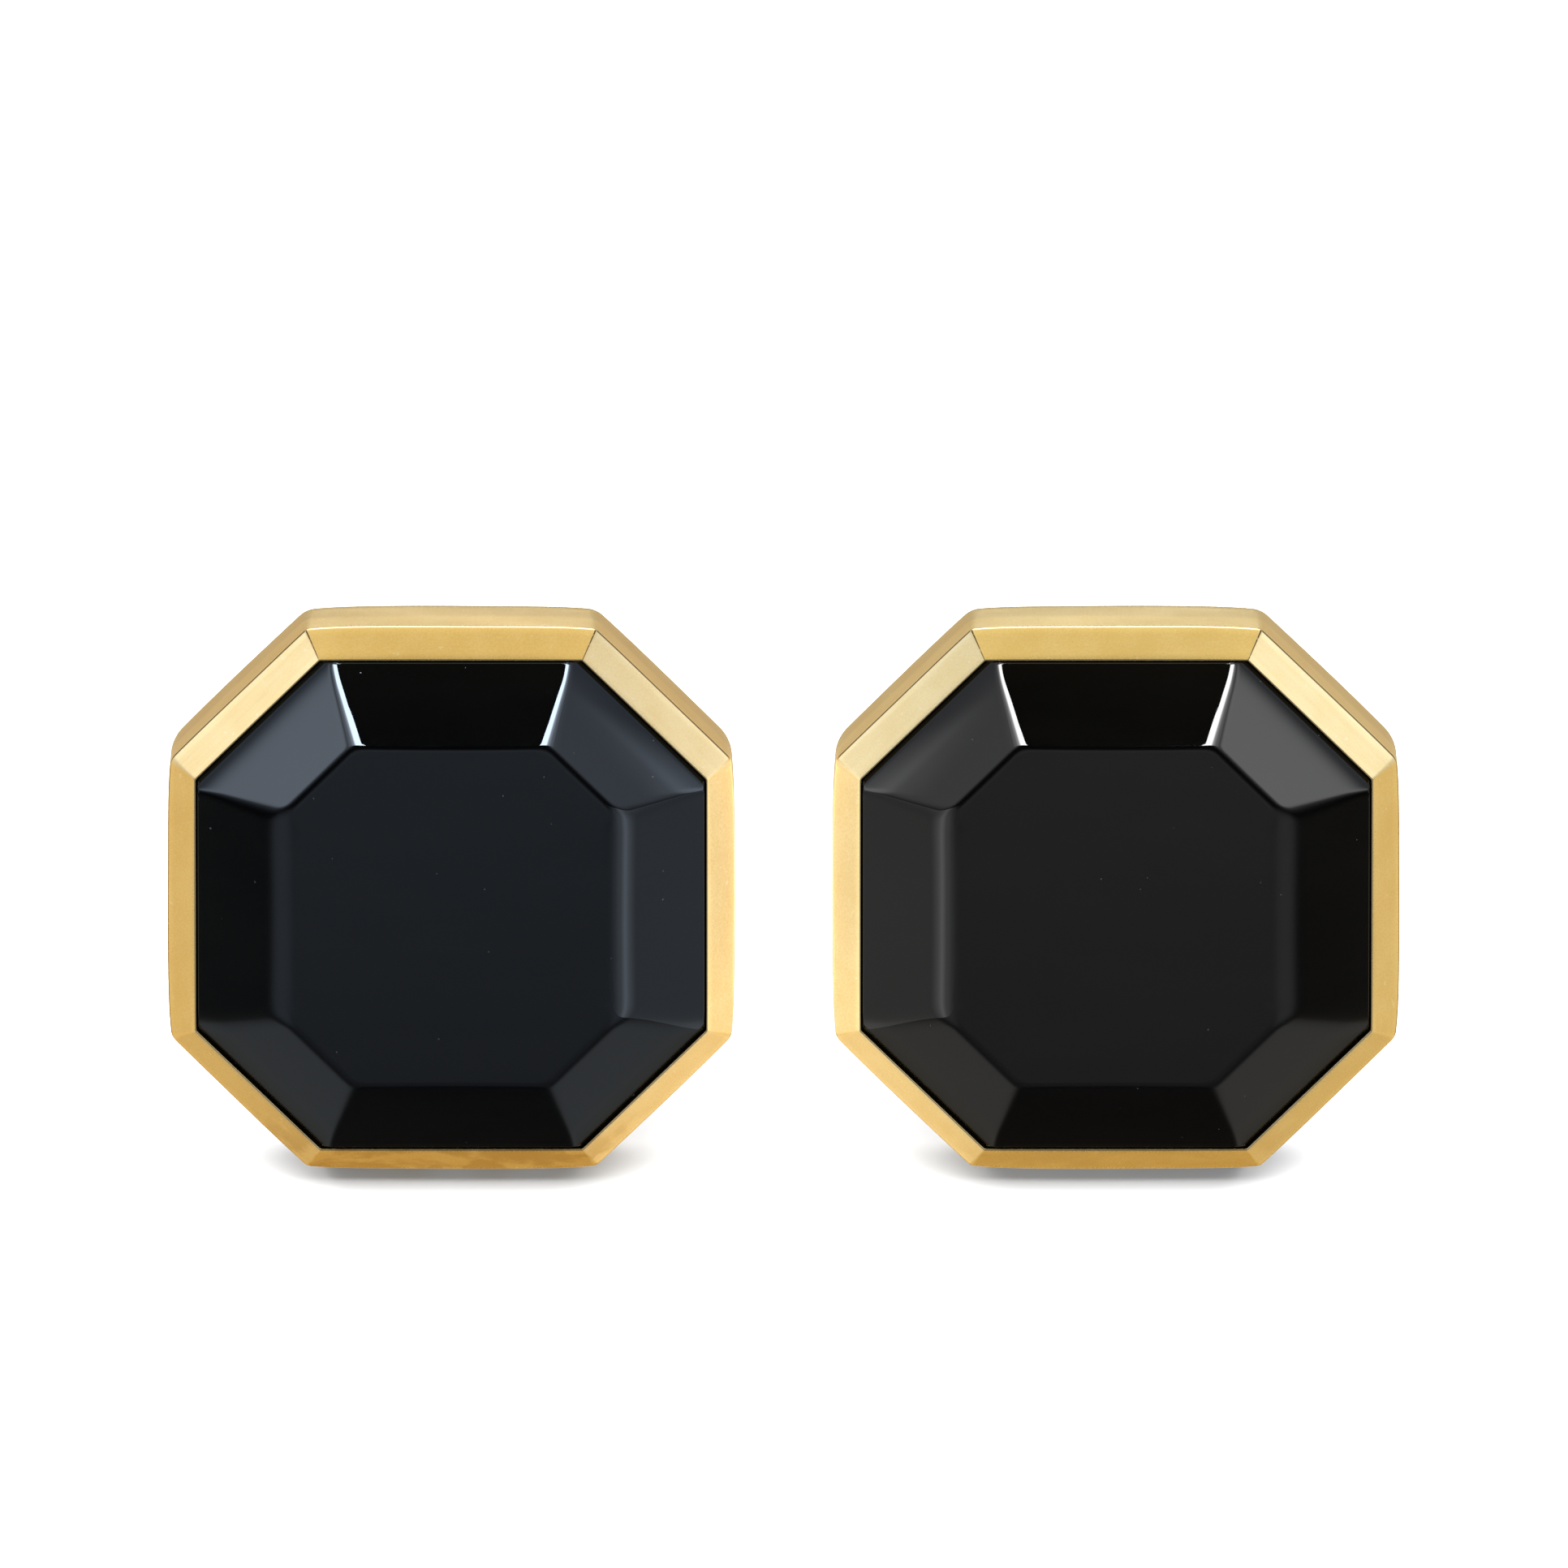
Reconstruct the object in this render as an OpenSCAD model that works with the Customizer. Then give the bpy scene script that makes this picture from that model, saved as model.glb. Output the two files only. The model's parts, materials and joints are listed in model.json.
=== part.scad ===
// Pair of octagonal cufflinks with swivelling bullet toggles.
// Each cufflink is drawn face up, with its back plane at zero height and its shank pointing down.
// It is then leaned back until the head's lower back edge and the shank's end both touch the ground.

/* [Head] */
// Width of the head across its flats
face_w = 17; // [15:0.5:20]
// Length cut off each corner of the head, along either side
corner_cut = 4.3; // [3.6:0.1:5]
// Rounding of the upright corner edges of the frame
corner_r = 0.5; // [0.1:0.1:0.8]
// Height of the frame's outer wall, from the back rim to the crest
wall_h = 2.45; // [2.2:0.05:3.5]
// Rounding of the back rim's outer edge
rim_r = 0.3; // [0.1:0.05:0.4]
// Rounding of the crest between the outer wall and the border
crest_r = 0.16; // [0.05:0.01:0.3]
// Width of the sloped front border, seen from the front
border_w = 0.86; // [0.8:0.02:1.4]
// Rise of the sloped front border, from the crest to the stone
border_h = 0.78; // [0.4:0.02:1.2]
// Width of the ledge that the stone sits on
ledge_w = 0.8; // [0.5:0.05:1.2]
// Thickness of the ledge that the stone sits on
ledge_t = 0.7; // [0.5:0.05:0.9]

/* [Stone] */
// Width of each sloped facet, seen from the front
facet_w = 2.4; // [1.6:0.1:3]
// Rise of each sloped facet, from its foot to the table
facet_h = 1.3; // [0.6:0.05:1.8]
// Rounding of the edge between the facets and the table
table_r = 0.25; // [0.1:0.05:0.5]
// Depth of the facets' foot below the front edge of the border
foot_drop = 0.1; // [0.05:0.01:0.3]
// Gap all round between the stone and the frame
stone_gap = 0.04; // [0.02:0.01:0.1]
// Thickness of the cement bed under the stone
cement_t = 0.15; // [0.1:0.05:0.3]

/* [Back] */
// Thickness of the back plate
plate_t = 0.6; // [0.4:0.05:0.8]
// Width of the frame's rim round the back plate
plate_rim_w = 0.6; // [0.5:0.05:0.75]
// Seam between the back plate and the rim
plate_seam = 0.02; // [0.01:0.01:0.05]
// Margin of the round boss outside the corners of the shank's foot
boss_margin = 0.12; // [0.05:0.01:0.4]
// Width of the flange that holds the boss inside the plate
flange_w = 0.8; // [0.4:0.1:1.2]
// Thickness of the flange
flange_t = 0.4; // [0.3:0.05:0.6]

/* [Shank] */
// Distance from the back plane to the hinge pin
pin_drop = 13; // [11:0.5:16]
// Thickness of each leg of the shank
leg_t = 0.9; // [0.7:0.05:1.2]
// Width of the shank at the boss
leg_foot_w = 4.4; // [4:0.1:5]
// Width of each leg at the pin, which is also the diameter of its round end
leg_end_w = 3.8; // [2.6:0.1:4]
// Thickness of the bridge that joins the legs at the boss
bridge_t = 1.2; // [0.8:0.1:2]
// Inside rounding where the legs meet the bridge
bridge_r = 0.9; // [0.4:0.1:1.5]
// Radius of the flare at the shank's foot
flare_r = 0.4; // [0.2:0.1:0.6]
// Length of the shank's tenon along the face's height
tenon_l = 3; // [2:0.1:4]
// Width of the shank's tenon
tenon_w = 1.6; // [1:0.1:2.4]

/* [Hinge] */
// Radius of the hinge pin
pin_r = 0.5; // [0.4:0.05:0.6]
// Radius of the riveted heads of the pin
rivet_r = 0.95; // [0.8:0.05:1.2]
// Height of the domed riveted heads
rivet_h = 0.22; // [0.1:0.02:0.3]
// Running clearance between the pin and the barrel
pin_play = 0.03; // [0.02:0.01:0.06]
// Side clearance between the barrel and each leg
leg_play = 0.12; // [0.1:0.01:0.2]

/* [Toggle] */
// Outer radius of the toggle's barrel
barrel_r = 2.1; // [1.9:0.1:2.6]
// Wall of the toggle's barrel
barrel_wall = 0.45; // [0.3:0.05:0.5]
// Length of the toggle's barrel between its noses
barrel_l = 8; // [7:0.5:10]
// Length of each rounded nose
nose_l = 3; // [2:0.25:3.5]
// Length of each nose's spigot inside the barrel
spigot_l = 1; // [0.8:0.1:1.3]

/* [Detent] */
// Width of the squared cam across its flats
cam_w = 1.6; // [1.5:0.05:1.7]
// Rounding of the cam's corners
cam_r = 0.2; // [0.1:0.05:0.3]
// Clearance between the cam's turning corners and the barrel's bore
cam_gap = 0.12; // [0.05:0.01:0.2]
// Thickness of the leaf spring
spring_t = 0.18; // [0.1:0.02:0.2]
// Width of the leaf spring
spring_w = 1.3; // [0.8:0.1:1.4]
// Clearance between the leaf spring's ends and the barrel's bore
spring_gap = 0.15; // [0.1:0.01:0.2]
// Length of the leaf spring's flat middle
spring_flat = 1.8; // [1.7:0.1:2.4]
// Length of each end of the leaf spring inside its slot
spring_end = 0.7; // [0.4:0.1:0.75]
// Clearance of the leaf spring from the cam and in its slots
spring_play = 0.02; // [0.01:0.01:0.03]

/* [Pair] */
// Gap between the two heads
pair_gap = 2.92; // [1:0.1:10]

/* [Hidden] */

left = -1;
right = 1;
$fn = 96;

gold = "goldenrod";
pale_gold = "palegoldenrod";
onyx = [0.06, 0.06, 0.07];
cement = "dimgray";
steel = "lightsteelblue";

// Overrun of every cut past the surface that it opens
over = 0.2;
// Number of straight steps in each rounded edge
round_steps = 5;
// Number of steps in each curved outline
curve_steps = 16;

// Heights in the head, from the back plane
border_top = wall_h + border_h;
ledge_z = plate_t + ledge_t;
stone_z = ledge_z + cement_t;
foot_z = border_top - foot_drop;
table_z = foot_z + facet_h;

// Distances in from the outer wall
ledge_in = border_w + ledge_w;
stone_in = border_w + stone_gap;
table_in = stone_in + facet_w;

// Sizes of the shank, the pin and the toggle
slot_half = barrel_r + leg_play;
leg_out = slot_half + leg_t;
leg_end_r = leg_end_w / 2;
leg_end_z = pin_drop + leg_end_r;
boss_r = norm([leg_out, leg_foot_w / 2] + [flare_r, flare_r]) + boss_margin;
boss_h = plate_t + flange_t;
barrel_in = barrel_r - barrel_wall;
bore_r = pin_r + pin_play;
cam_swing = norm([1, 1]) * (cam_w / 2 - cam_r) + cam_r;
cam_half = sqrt(pow(barrel_in - cam_gap, 2) - pow(cam_swing, 2));
spring_z = cam_w / 2 + spring_play;
spring_end_z = sqrt(pow(barrel_in, 2) - pow(spring_w / 2, 2)) - spring_gap - spring_t;
spring_rise = spring_end_z - spring_z;
spring_half = barrel_l / 2 - spigot_l + spring_end;
spring_bend = barrel_l / 2 - spigot_l - spring_flat / 2;
cement_in = ledge_in + stone_gap;

// The lean at which the ground touches the rounded back edge of the head and a point of the shank
function lean_onto(point_out, point_back) =
    let (fall = face_w / 2 - rim_r - point_out, run = rim_r + point_back)
    atan2(fall, run) + asin(rim_r / norm([fall, run]));

// The cufflink leans on the leg's end, or on the rivet's head where that stands lower
lean = min(lean_onto(leg_out, leg_end_z), lean_onto(leg_out + rivet_h, pin_drop + rivet_r));

// Height and depth that the lean gives to a point of the face's height and its distance to the front
function risen(height, front) = height * cos(lean) + front * sin(lean);
function depth(height, front) = height * sin(lean) - front * cos(lean);

// Place of the leaned cufflinks: standing on the ground, and centred from front to back
ground_lift = rim_r - risen(rim_r - face_w / 2, rim_r);
front_reach = min(
    depth(table_in - face_w / 2, table_z),
    depth(border_w - face_w / 2, border_top),
    depth(-face_w / 2, wall_h)
);
back_reach = depth(leg_out, -leg_end_z);
centre_shift = -(front_reach + back_reach) / 2;

// Corner cut of the head's outline at a distance in from its outer wall
function cut_at(inset) = corner_cut - inset * (2 - sqrt(2));

// Corner k of the head's outline at a distance in from its outer wall, counted from the right
function head_corner(k, inset) =
    let (
        far = face_w / 2 - inset,
        near = far - cut_at(inset),
        x = k % 2 == 0 ? far : near,
        y = k % 2 == 0 ? near : far,
        turn = 90 * floor(k / 2)
    )
    [x * cos(turn) - y * sin(turn), x * sin(turn) + y * cos(turn)];

// The head's outline at a distance in from its outer wall
function head_outline(inset) = [for (k = [0 : 7]) head_corner(k, inset)];

// The head's outer outline with its eight corners rounded
function rounded_outline(r) = [
    for (k = [0 : 7], i = [0 : round_steps])
        let (turn = 45 * (k + i / round_steps))
        head_corner(k, r) + r * [cos(turn), sin(turn)]
];

// Points of an arc of radius r that rounds corner b between points a and c
function rounded_corner(a, b, c, r) =
    let (
        u = (a - b) / norm(a - b),
        v = (c - b) / norm(c - b),
        half = acos(u * v) / 2,
        centre = b + (u + v) / norm(u + v) * r / sin(half),
        start = b + u * r / tan(half) - centre,
        side = cross(u, v) > 0 ? -1 : 1
    )
    [
        for (i = [0 : round_steps])
            let (turn = side * (180 - 2 * half) * i / round_steps)
            centre + [
                start[0] * cos(turn) - start[1] * sin(turn),
                start[0] * sin(turn) + start[1] * cos(turn)
            ]
    ];

// Section of an eight-walled solid: each corner is [distance in from the outer wall, height, radius]
function wall_section(corners) = [
    for (i = [0 : len(corners) - 1])
        let (b = [corners[i][0], corners[i][1]], r = corners[i][2])
        if (r == 0) b
        else each rounded_corner(
            [corners[i - 1][0], corners[i - 1][1]], b, [corners[i + 1][0], corners[i + 1][1]], r)
];

// Distance from the middle to an outer wall, for the flats and for the cut corners
function wall_distance(turn) = turn % 90 == 0 ? face_w / 2 : (face_w - corner_cut) / sqrt(2);

// A solid whose eight walls follow one section and meet in true mitres
module eight_walled(corners) {
    section = wall_section(corners);
    last = len(section) - 1;
    intersection_for (turn = [0 : 45 : 135])
        rotate([90, 0, turn])
            linear_extrude(2 * face_w, center = true)
                polygon([
                    for (p = section) [wall_distance(turn) - p[0], p[1]],
                    for (i = [last : -1 : 0]) [section[i][0] - wall_distance(turn), section[i][1]]
                ]);
}

// An upright block with the head's outline, from one height to another
module head_block(inset, low, high)
    translate([0, 0, low])
        linear_extrude(high - low)
            polygon(head_outline(inset));

// Turns an outline drawn as [face height, distance to the front] into a plate across the shank
module side_cut(width)
    rotate([90, 0, 90])
        linear_extrude(width, center = true)
            children();

// Turns an outline drawn as [sideways, distance to the front] into a plate along the pin
module front_cut(width)
    rotate([90, 0, 0])
        linear_extrude(width, center = true)
            children();

// A round bar along the pin's axis, centred on the head's middle line
module pin_bar(radius, length)
    translate([0, 0, -pin_drop])
        rotate([90, 0, 0])
            cylinder(r = radius, h = length, center = true);

// Cast frame: outer wall, crest, sloped border, stone pocket, ledge and rebate for the back plate
module bezel_frame()
    color(gold)
    difference() {
        intersection() {
            eight_walled([
                [rim_r + border_w, 0, 0],
                [0, 0, rim_r],
                [0, wall_h, crest_r],
                [border_w, border_top, 0]
            ]);
            linear_extrude(border_top)
                polygon(rounded_outline(corner_r));
        }
        head_block(border_w, ledge_z, border_top + over);
        head_block(ledge_in, -over, ledge_z + over);
        head_block(plate_rim_w, -over, plate_t);
    }

// Stone with an upright girdle, eight sloped facets and a flat octagonal table
module onyx_stone()
    color(onyx)
    eight_walled([
        [stone_in, stone_z, 0],
        [stone_in, foot_z, 0],
        [table_in, table_z, table_r],
        [table_in + facet_w / 2, table_z, 0]
    ]);

// Setting cement: fills the hollow behind the ledge, and spreads over the ledge under the stone
module stone_cement()
    color(cement)
    difference() {
        union() {
            head_block(cement_in, plate_t, stone_z);
            head_block(stone_in, ledge_z, stone_z);
        }
        translate([0, 0, plate_t - over])
            cylinder(r = boss_r + flange_w, h = flange_t + over);
    }

// An upright square block on the head's middle line, from one height to another
module tenon_block(low, high)
    translate([-tenon_w / 2, -tenon_l / 2, low])
        cube([tenon_w, tenon_l, high - low]);

// Plate that closes the back of the frame, pierced for the boss
module back_plate()
    color(gold)
    difference() {
        head_block(plate_rim_w + plate_seam, 0, plate_t);
        translate([0, 0, -over])
            cylinder(r = boss_r, h = plate_t + 2 * over);
    }

// Round boss with an inner flange, mortised for the shank
module shank_base()
    color(gold)
    difference() {
        union() {
            cylinder(r = boss_r, h = plate_t);
            translate([0, 0, plate_t])
                cylinder(r = boss_r + flange_w, h = flange_t);
        }
        tenon_block(-over, boss_h + over);
    }

// Half of an outline that flares out at the boss, from the ground of the flare to the boss
function flared_side(half) = [
    for (i = [0 : curve_steps])
        let (turn = 180 - 90 * i / curve_steps)
        [half + flare_r * (1 + cos(turn)), flare_r * (sin(turn) - 1)]
];

// The same points on the other side, in reverse order
function mirrored(points) = [for (i = [len(points) - 1 : -1 : 0]) [-points[i][0], points[i][1]]];

// Stirrup frame: two legs on a bridge, tapered from the flared foot to round ends at the pin
module shank_frame()
    color(gold)
    difference() {
        union() {
            intersection() {
                side_cut(face_w)
                    polygon(concat(
                        [[leg_out, -leg_end_z]],
                        flared_side(leg_out),
                        mirrored(flared_side(leg_out)),
                        [[-leg_out, -leg_end_z]]
                    ));
                front_cut(face_w) {
                    polygon(concat(
                        [[leg_end_r, -pin_drop]],
                        flared_side(leg_foot_w / 2),
                        mirrored(flared_side(leg_foot_w / 2)),
                        [[-leg_end_r, -pin_drop]]
                    ));
                    translate([0, -pin_drop])
                        circle(r = leg_end_r);
                }
            }
            tenon_block(0, boss_h);
        }
        side_cut(face_w)
            polygon(concat(
                [[slot_half, -leg_end_z - over]],
                rounded_corner(
                    [slot_half, -leg_end_z], [slot_half, -bridge_t], [-slot_half, -bridge_t], bridge_r),
                rounded_corner(
                    [slot_half, -bridge_t], [-slot_half, -bridge_t], [-slot_half, -leg_end_z], bridge_r),
                [[-slot_half, -leg_end_z - over]]
            ));
        pin_bar(pin_r, 2 * (leg_out + over));
    }

// Domed head of the pin: the cap of a ball as wide as the rivet
module rivet_head() {
    ball_r = (rivet_r * rivet_r + rivet_h * rivet_h) / (2 * rivet_h);
    intersection() {
        translate([0, 0, rivet_h - ball_r])
            sphere(r = ball_r);
        cylinder(r = rivet_r, h = rivet_h);
    }
}

// Pin through both legs, riveted into a low dome outside each
module hinge_pin()
    color(pale_gold)
    union() {
        pin_bar(pin_r, 2 * leg_out);
        for (side = [left, right])
            translate([0, side * leg_out, -pin_drop])
                rotate([-90 * side, 0, 0])
                    rivet_head();
    }

// Squared sleeve, pressed on the middle of the pin
module detent_cam()
    color(steel)
    translate([0, 0, -pin_drop])
        front_cut(2 * cam_half)
            difference() {
                union() {
                    square([cam_w, cam_w - 2 * cam_r], center = true);
                    square([cam_w - 2 * cam_r, cam_w], center = true);
                    for (x = [left, right], y = [left, right])
                        translate([x, y] * (cam_w / 2 - cam_r))
                            circle(r = cam_r);
                }
                circle(r = pin_r);
            }

// Height of the leaf spring's inner side over the pin's axis, at a distance from the middle
function leaf_height(share) = spring_z + spring_rise * (1 - cos(180 * share)) / 2;

// Inner side of the leaf spring, from its flat middle to its end
function leaf_side() = concat(
    [
        for (i = [0 : curve_steps])
            let (share = i / curve_steps)
            [spring_flat / 2 + spring_bend * share, leaf_height(share)]
    ],
    [[spring_half, spring_end_z]]
);

// Leaf spring that lies along the barrel, bears on the cam and ends in the noses' slots
module detent_spring()
    color(steel)
    translate([0, 0, -pin_drop])
        front_cut(spring_w)
            polygon([
                for (p = mirrored(leaf_side())) p,
                for (p = leaf_side()) p,
                for (i = [len(leaf_side()) - 1 : -1 : 0]) leaf_side()[i] + [0, spring_t],
                for (p = leaf_side()) [-p[0], p[1] + spring_t]
            ]);

// Tube of the toggle, cross-drilled for the pin
module toggle_barrel()
    color(gold)
    difference() {
        translate([0, 0, -pin_drop])
            rotate([0, 90, 0])
                difference() {
                    cylinder(r = barrel_r, h = barrel_l, center = true);
                    cylinder(r = barrel_in, h = barrel_l + 2 * over, center = true);
                }
        pin_bar(bore_r, 2 * (barrel_r + over));
    }

// Bullet nose with a spigot that fills the barrel's end and holds the spring in a slot
module toggle_cap(outward)
    color(gold)
    translate([0, 0, -pin_drop])
        rotate([0, 0, outward > 0 ? 0 : 180])
            difference() {
                rotate([0, 90, 0])
                    rotate_extrude()
                        polygon(concat(
                            [
                                [0, barrel_l / 2 - spigot_l],
                                [barrel_in, barrel_l / 2 - spigot_l],
                                [barrel_in, barrel_l / 2]
                            ],
                            [
                                for (i = [0 : curve_steps])
                                    let (turn = 90 * i / curve_steps)
                                    [barrel_r * cos(turn), barrel_l / 2 + nose_l * sin(turn)]
                            ]
                        ));
                translate([
                    barrel_l / 2 - spigot_l - over,
                    -spring_w / 2 - spring_play,
                    spring_end_z - spring_play
                ])
                    cube([
                        spring_end + spring_play + over,
                        spring_w + 2 * spring_play,
                        spring_t + 2 * spring_play
                    ]);
            }

// Stands a cufflink in its place in the pair, leaned back on its shank
module placed(side)
    translate([side * (face_w + pair_gap) / 2, centre_shift, ground_lift])
        rotate([90 - lean, 0, 0])
            children();

placed(left) bezel_frame();  // left_bezel_frame
placed(left) onyx_stone();  // left_onyx_stone
placed(left) stone_cement();  // left_stone_cement
placed(left) back_plate();  // left_back_plate
placed(left) shank_base();  // left_shank_base
placed(left) shank_frame();  // left_shank_frame
placed(left) hinge_pin();  // left_hinge_pin
placed(left) detent_cam();  // left_detent_cam
placed(left) detent_spring();  // left_detent_spring
placed(left) toggle_barrel();  // left_toggle_barrel
placed(left) toggle_cap(left);  // left_toggle_cap_outer
placed(left) toggle_cap(right);  // left_toggle_cap_inner
placed(right) bezel_frame();  // right_bezel_frame
placed(right) onyx_stone();  // right_onyx_stone
placed(right) stone_cement();  // right_stone_cement
placed(right) back_plate();  // right_back_plate
placed(right) shank_base();  // right_shank_base
placed(right) shank_frame();  // right_shank_frame
placed(right) hinge_pin();  // right_hinge_pin
placed(right) detent_cam();  // right_detent_cam
placed(right) detent_spring();  // right_detent_spring
placed(right) toggle_barrel();  // right_toggle_barrel
placed(right) toggle_cap(right);  // right_toggle_cap_outer
placed(right) toggle_cap(left);  // right_toggle_cap_inner
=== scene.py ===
"""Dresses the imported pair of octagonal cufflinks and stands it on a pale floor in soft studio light."""

import json
import logging
import math
from collections.abc import Mapping, Sequence
from dataclasses import dataclass, field
from enum import Enum

import bmesh
import bpy
import numpy as np
from mathutils import Matrix, Vector

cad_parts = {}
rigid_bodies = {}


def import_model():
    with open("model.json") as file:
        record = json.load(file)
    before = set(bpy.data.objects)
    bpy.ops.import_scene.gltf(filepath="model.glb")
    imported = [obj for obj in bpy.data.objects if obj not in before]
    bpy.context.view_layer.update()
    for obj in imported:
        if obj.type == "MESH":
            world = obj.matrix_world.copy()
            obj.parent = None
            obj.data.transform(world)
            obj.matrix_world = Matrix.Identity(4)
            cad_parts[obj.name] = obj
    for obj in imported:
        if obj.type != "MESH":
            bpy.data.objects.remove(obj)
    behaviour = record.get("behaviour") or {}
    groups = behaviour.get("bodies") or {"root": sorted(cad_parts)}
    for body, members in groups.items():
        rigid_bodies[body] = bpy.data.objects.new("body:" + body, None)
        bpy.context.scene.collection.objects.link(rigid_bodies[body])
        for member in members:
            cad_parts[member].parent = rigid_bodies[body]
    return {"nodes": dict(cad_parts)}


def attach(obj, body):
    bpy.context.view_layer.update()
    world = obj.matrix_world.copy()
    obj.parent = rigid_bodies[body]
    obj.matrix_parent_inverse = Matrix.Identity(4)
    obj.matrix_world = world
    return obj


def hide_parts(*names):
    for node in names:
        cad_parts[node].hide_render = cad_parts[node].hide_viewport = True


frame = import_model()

LOG = logging.getLogger("cufflinks")
MM = 0.001
MOST_FILLS = 12
PAIR_BODY = "cufflink_pair"
Rgb = tuple[float, float, float]
Triple = tuple[float, float, float]
Inputs = dict[str, object]
Span = tuple[float, float]
Points = np.ndarray
Socket = bpy.types.NodeSocket
Piece = bpy.types.Object


class Sign(Enum):
    """A choice between two sides, as a sign along X and a word in names."""

    @property
    def word(self) -> str:
        """The word in names."""
        return self.name.lower()


class Side(Sign):
    """Which cufflink of the pair."""

    LEFT = -1
    RIGHT = 1


class Nose(Sign):
    """Which nose of a toggle, in the cufflink's own frame."""

    OUTER = -1
    INNER = 1


class Axis(Enum):
    """The line that a round piece of the closure is turned about."""

    BARREL = "across"
    PIN = "upright"


class Slot(Enum):
    """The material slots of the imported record."""

    SATIN_GOLD = "satin_gold"
    SATIN_GOLD_BACK = "satin_gold_back"
    POLISHED_GOLD = "polished_gold"
    PIN_GOLD = "pin_gold"
    SPRING_STEEL = "spring_steel"
    BLACK_ONYX = "black_onyx"
    SETTING_CEMENT = "setting_cement"


class Catcher(Enum):
    """The pieces that alone catch a shaded light card, by the end of their names."""

    STONE = "onyx_stone_polished"
    FRAME = "bezel_frame_polished"


# ---- shader expressions


@dataclass(frozen=True)
class Signal:
    """A number socket whose arithmetic adds Math nodes to its tree."""

    board: "Board"
    socket: Socket

    def _math(self, operation: str, *terms: "Signal | float") -> "Signal":
        """The result of one Math node."""
        node = self.board.node("Math", {"operation": operation}, dict(enumerate(terms)))
        return Signal(self.board, node.outputs[0])

    def __add__(self, other: "Signal | float") -> "Signal":
        """Sum."""
        return self._math("ADD", self, other)

    def __radd__(self, other: float) -> "Signal":
        """Sum with a number on the left."""
        return self._math("ADD", other, self)

    def __sub__(self, other: "Signal | float") -> "Signal":
        """Difference."""
        return self._math("SUBTRACT", self, other)

    def __rsub__(self, other: float) -> "Signal":
        """Difference from a number on the left."""
        return self._math("SUBTRACT", other, self)

    def __mul__(self, other: "Signal | float") -> "Signal":
        """Product."""
        return self._math("MULTIPLY", self, other)

    def __rmul__(self, other: float) -> "Signal":
        """Product with a number on the left."""
        return self._math("MULTIPLY", other, self)

    def exp(self) -> "Signal":
        """Natural exponential."""
        return self._math("EXPONENT", self)

    def size(self) -> "Signal":
        """Absolute value."""
        return self._math("ABSOLUTE", self)

    def between(self, low: float, high: float) -> "Signal":
        """Smooth step.

        Args:
            low: Value that gives 0.
            high: Value that gives 1.

        Returns:
            The stepped signal.
        """
        settings = {"interpolation_type": "SMOOTHSTEP", "clamp": True}
        sockets = {"Value": self, "From Min": low, "From Max": high}
        node = self.board.node("MapRange", settings, sockets)
        return Signal(self.board, node.outputs["Result"])


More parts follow.
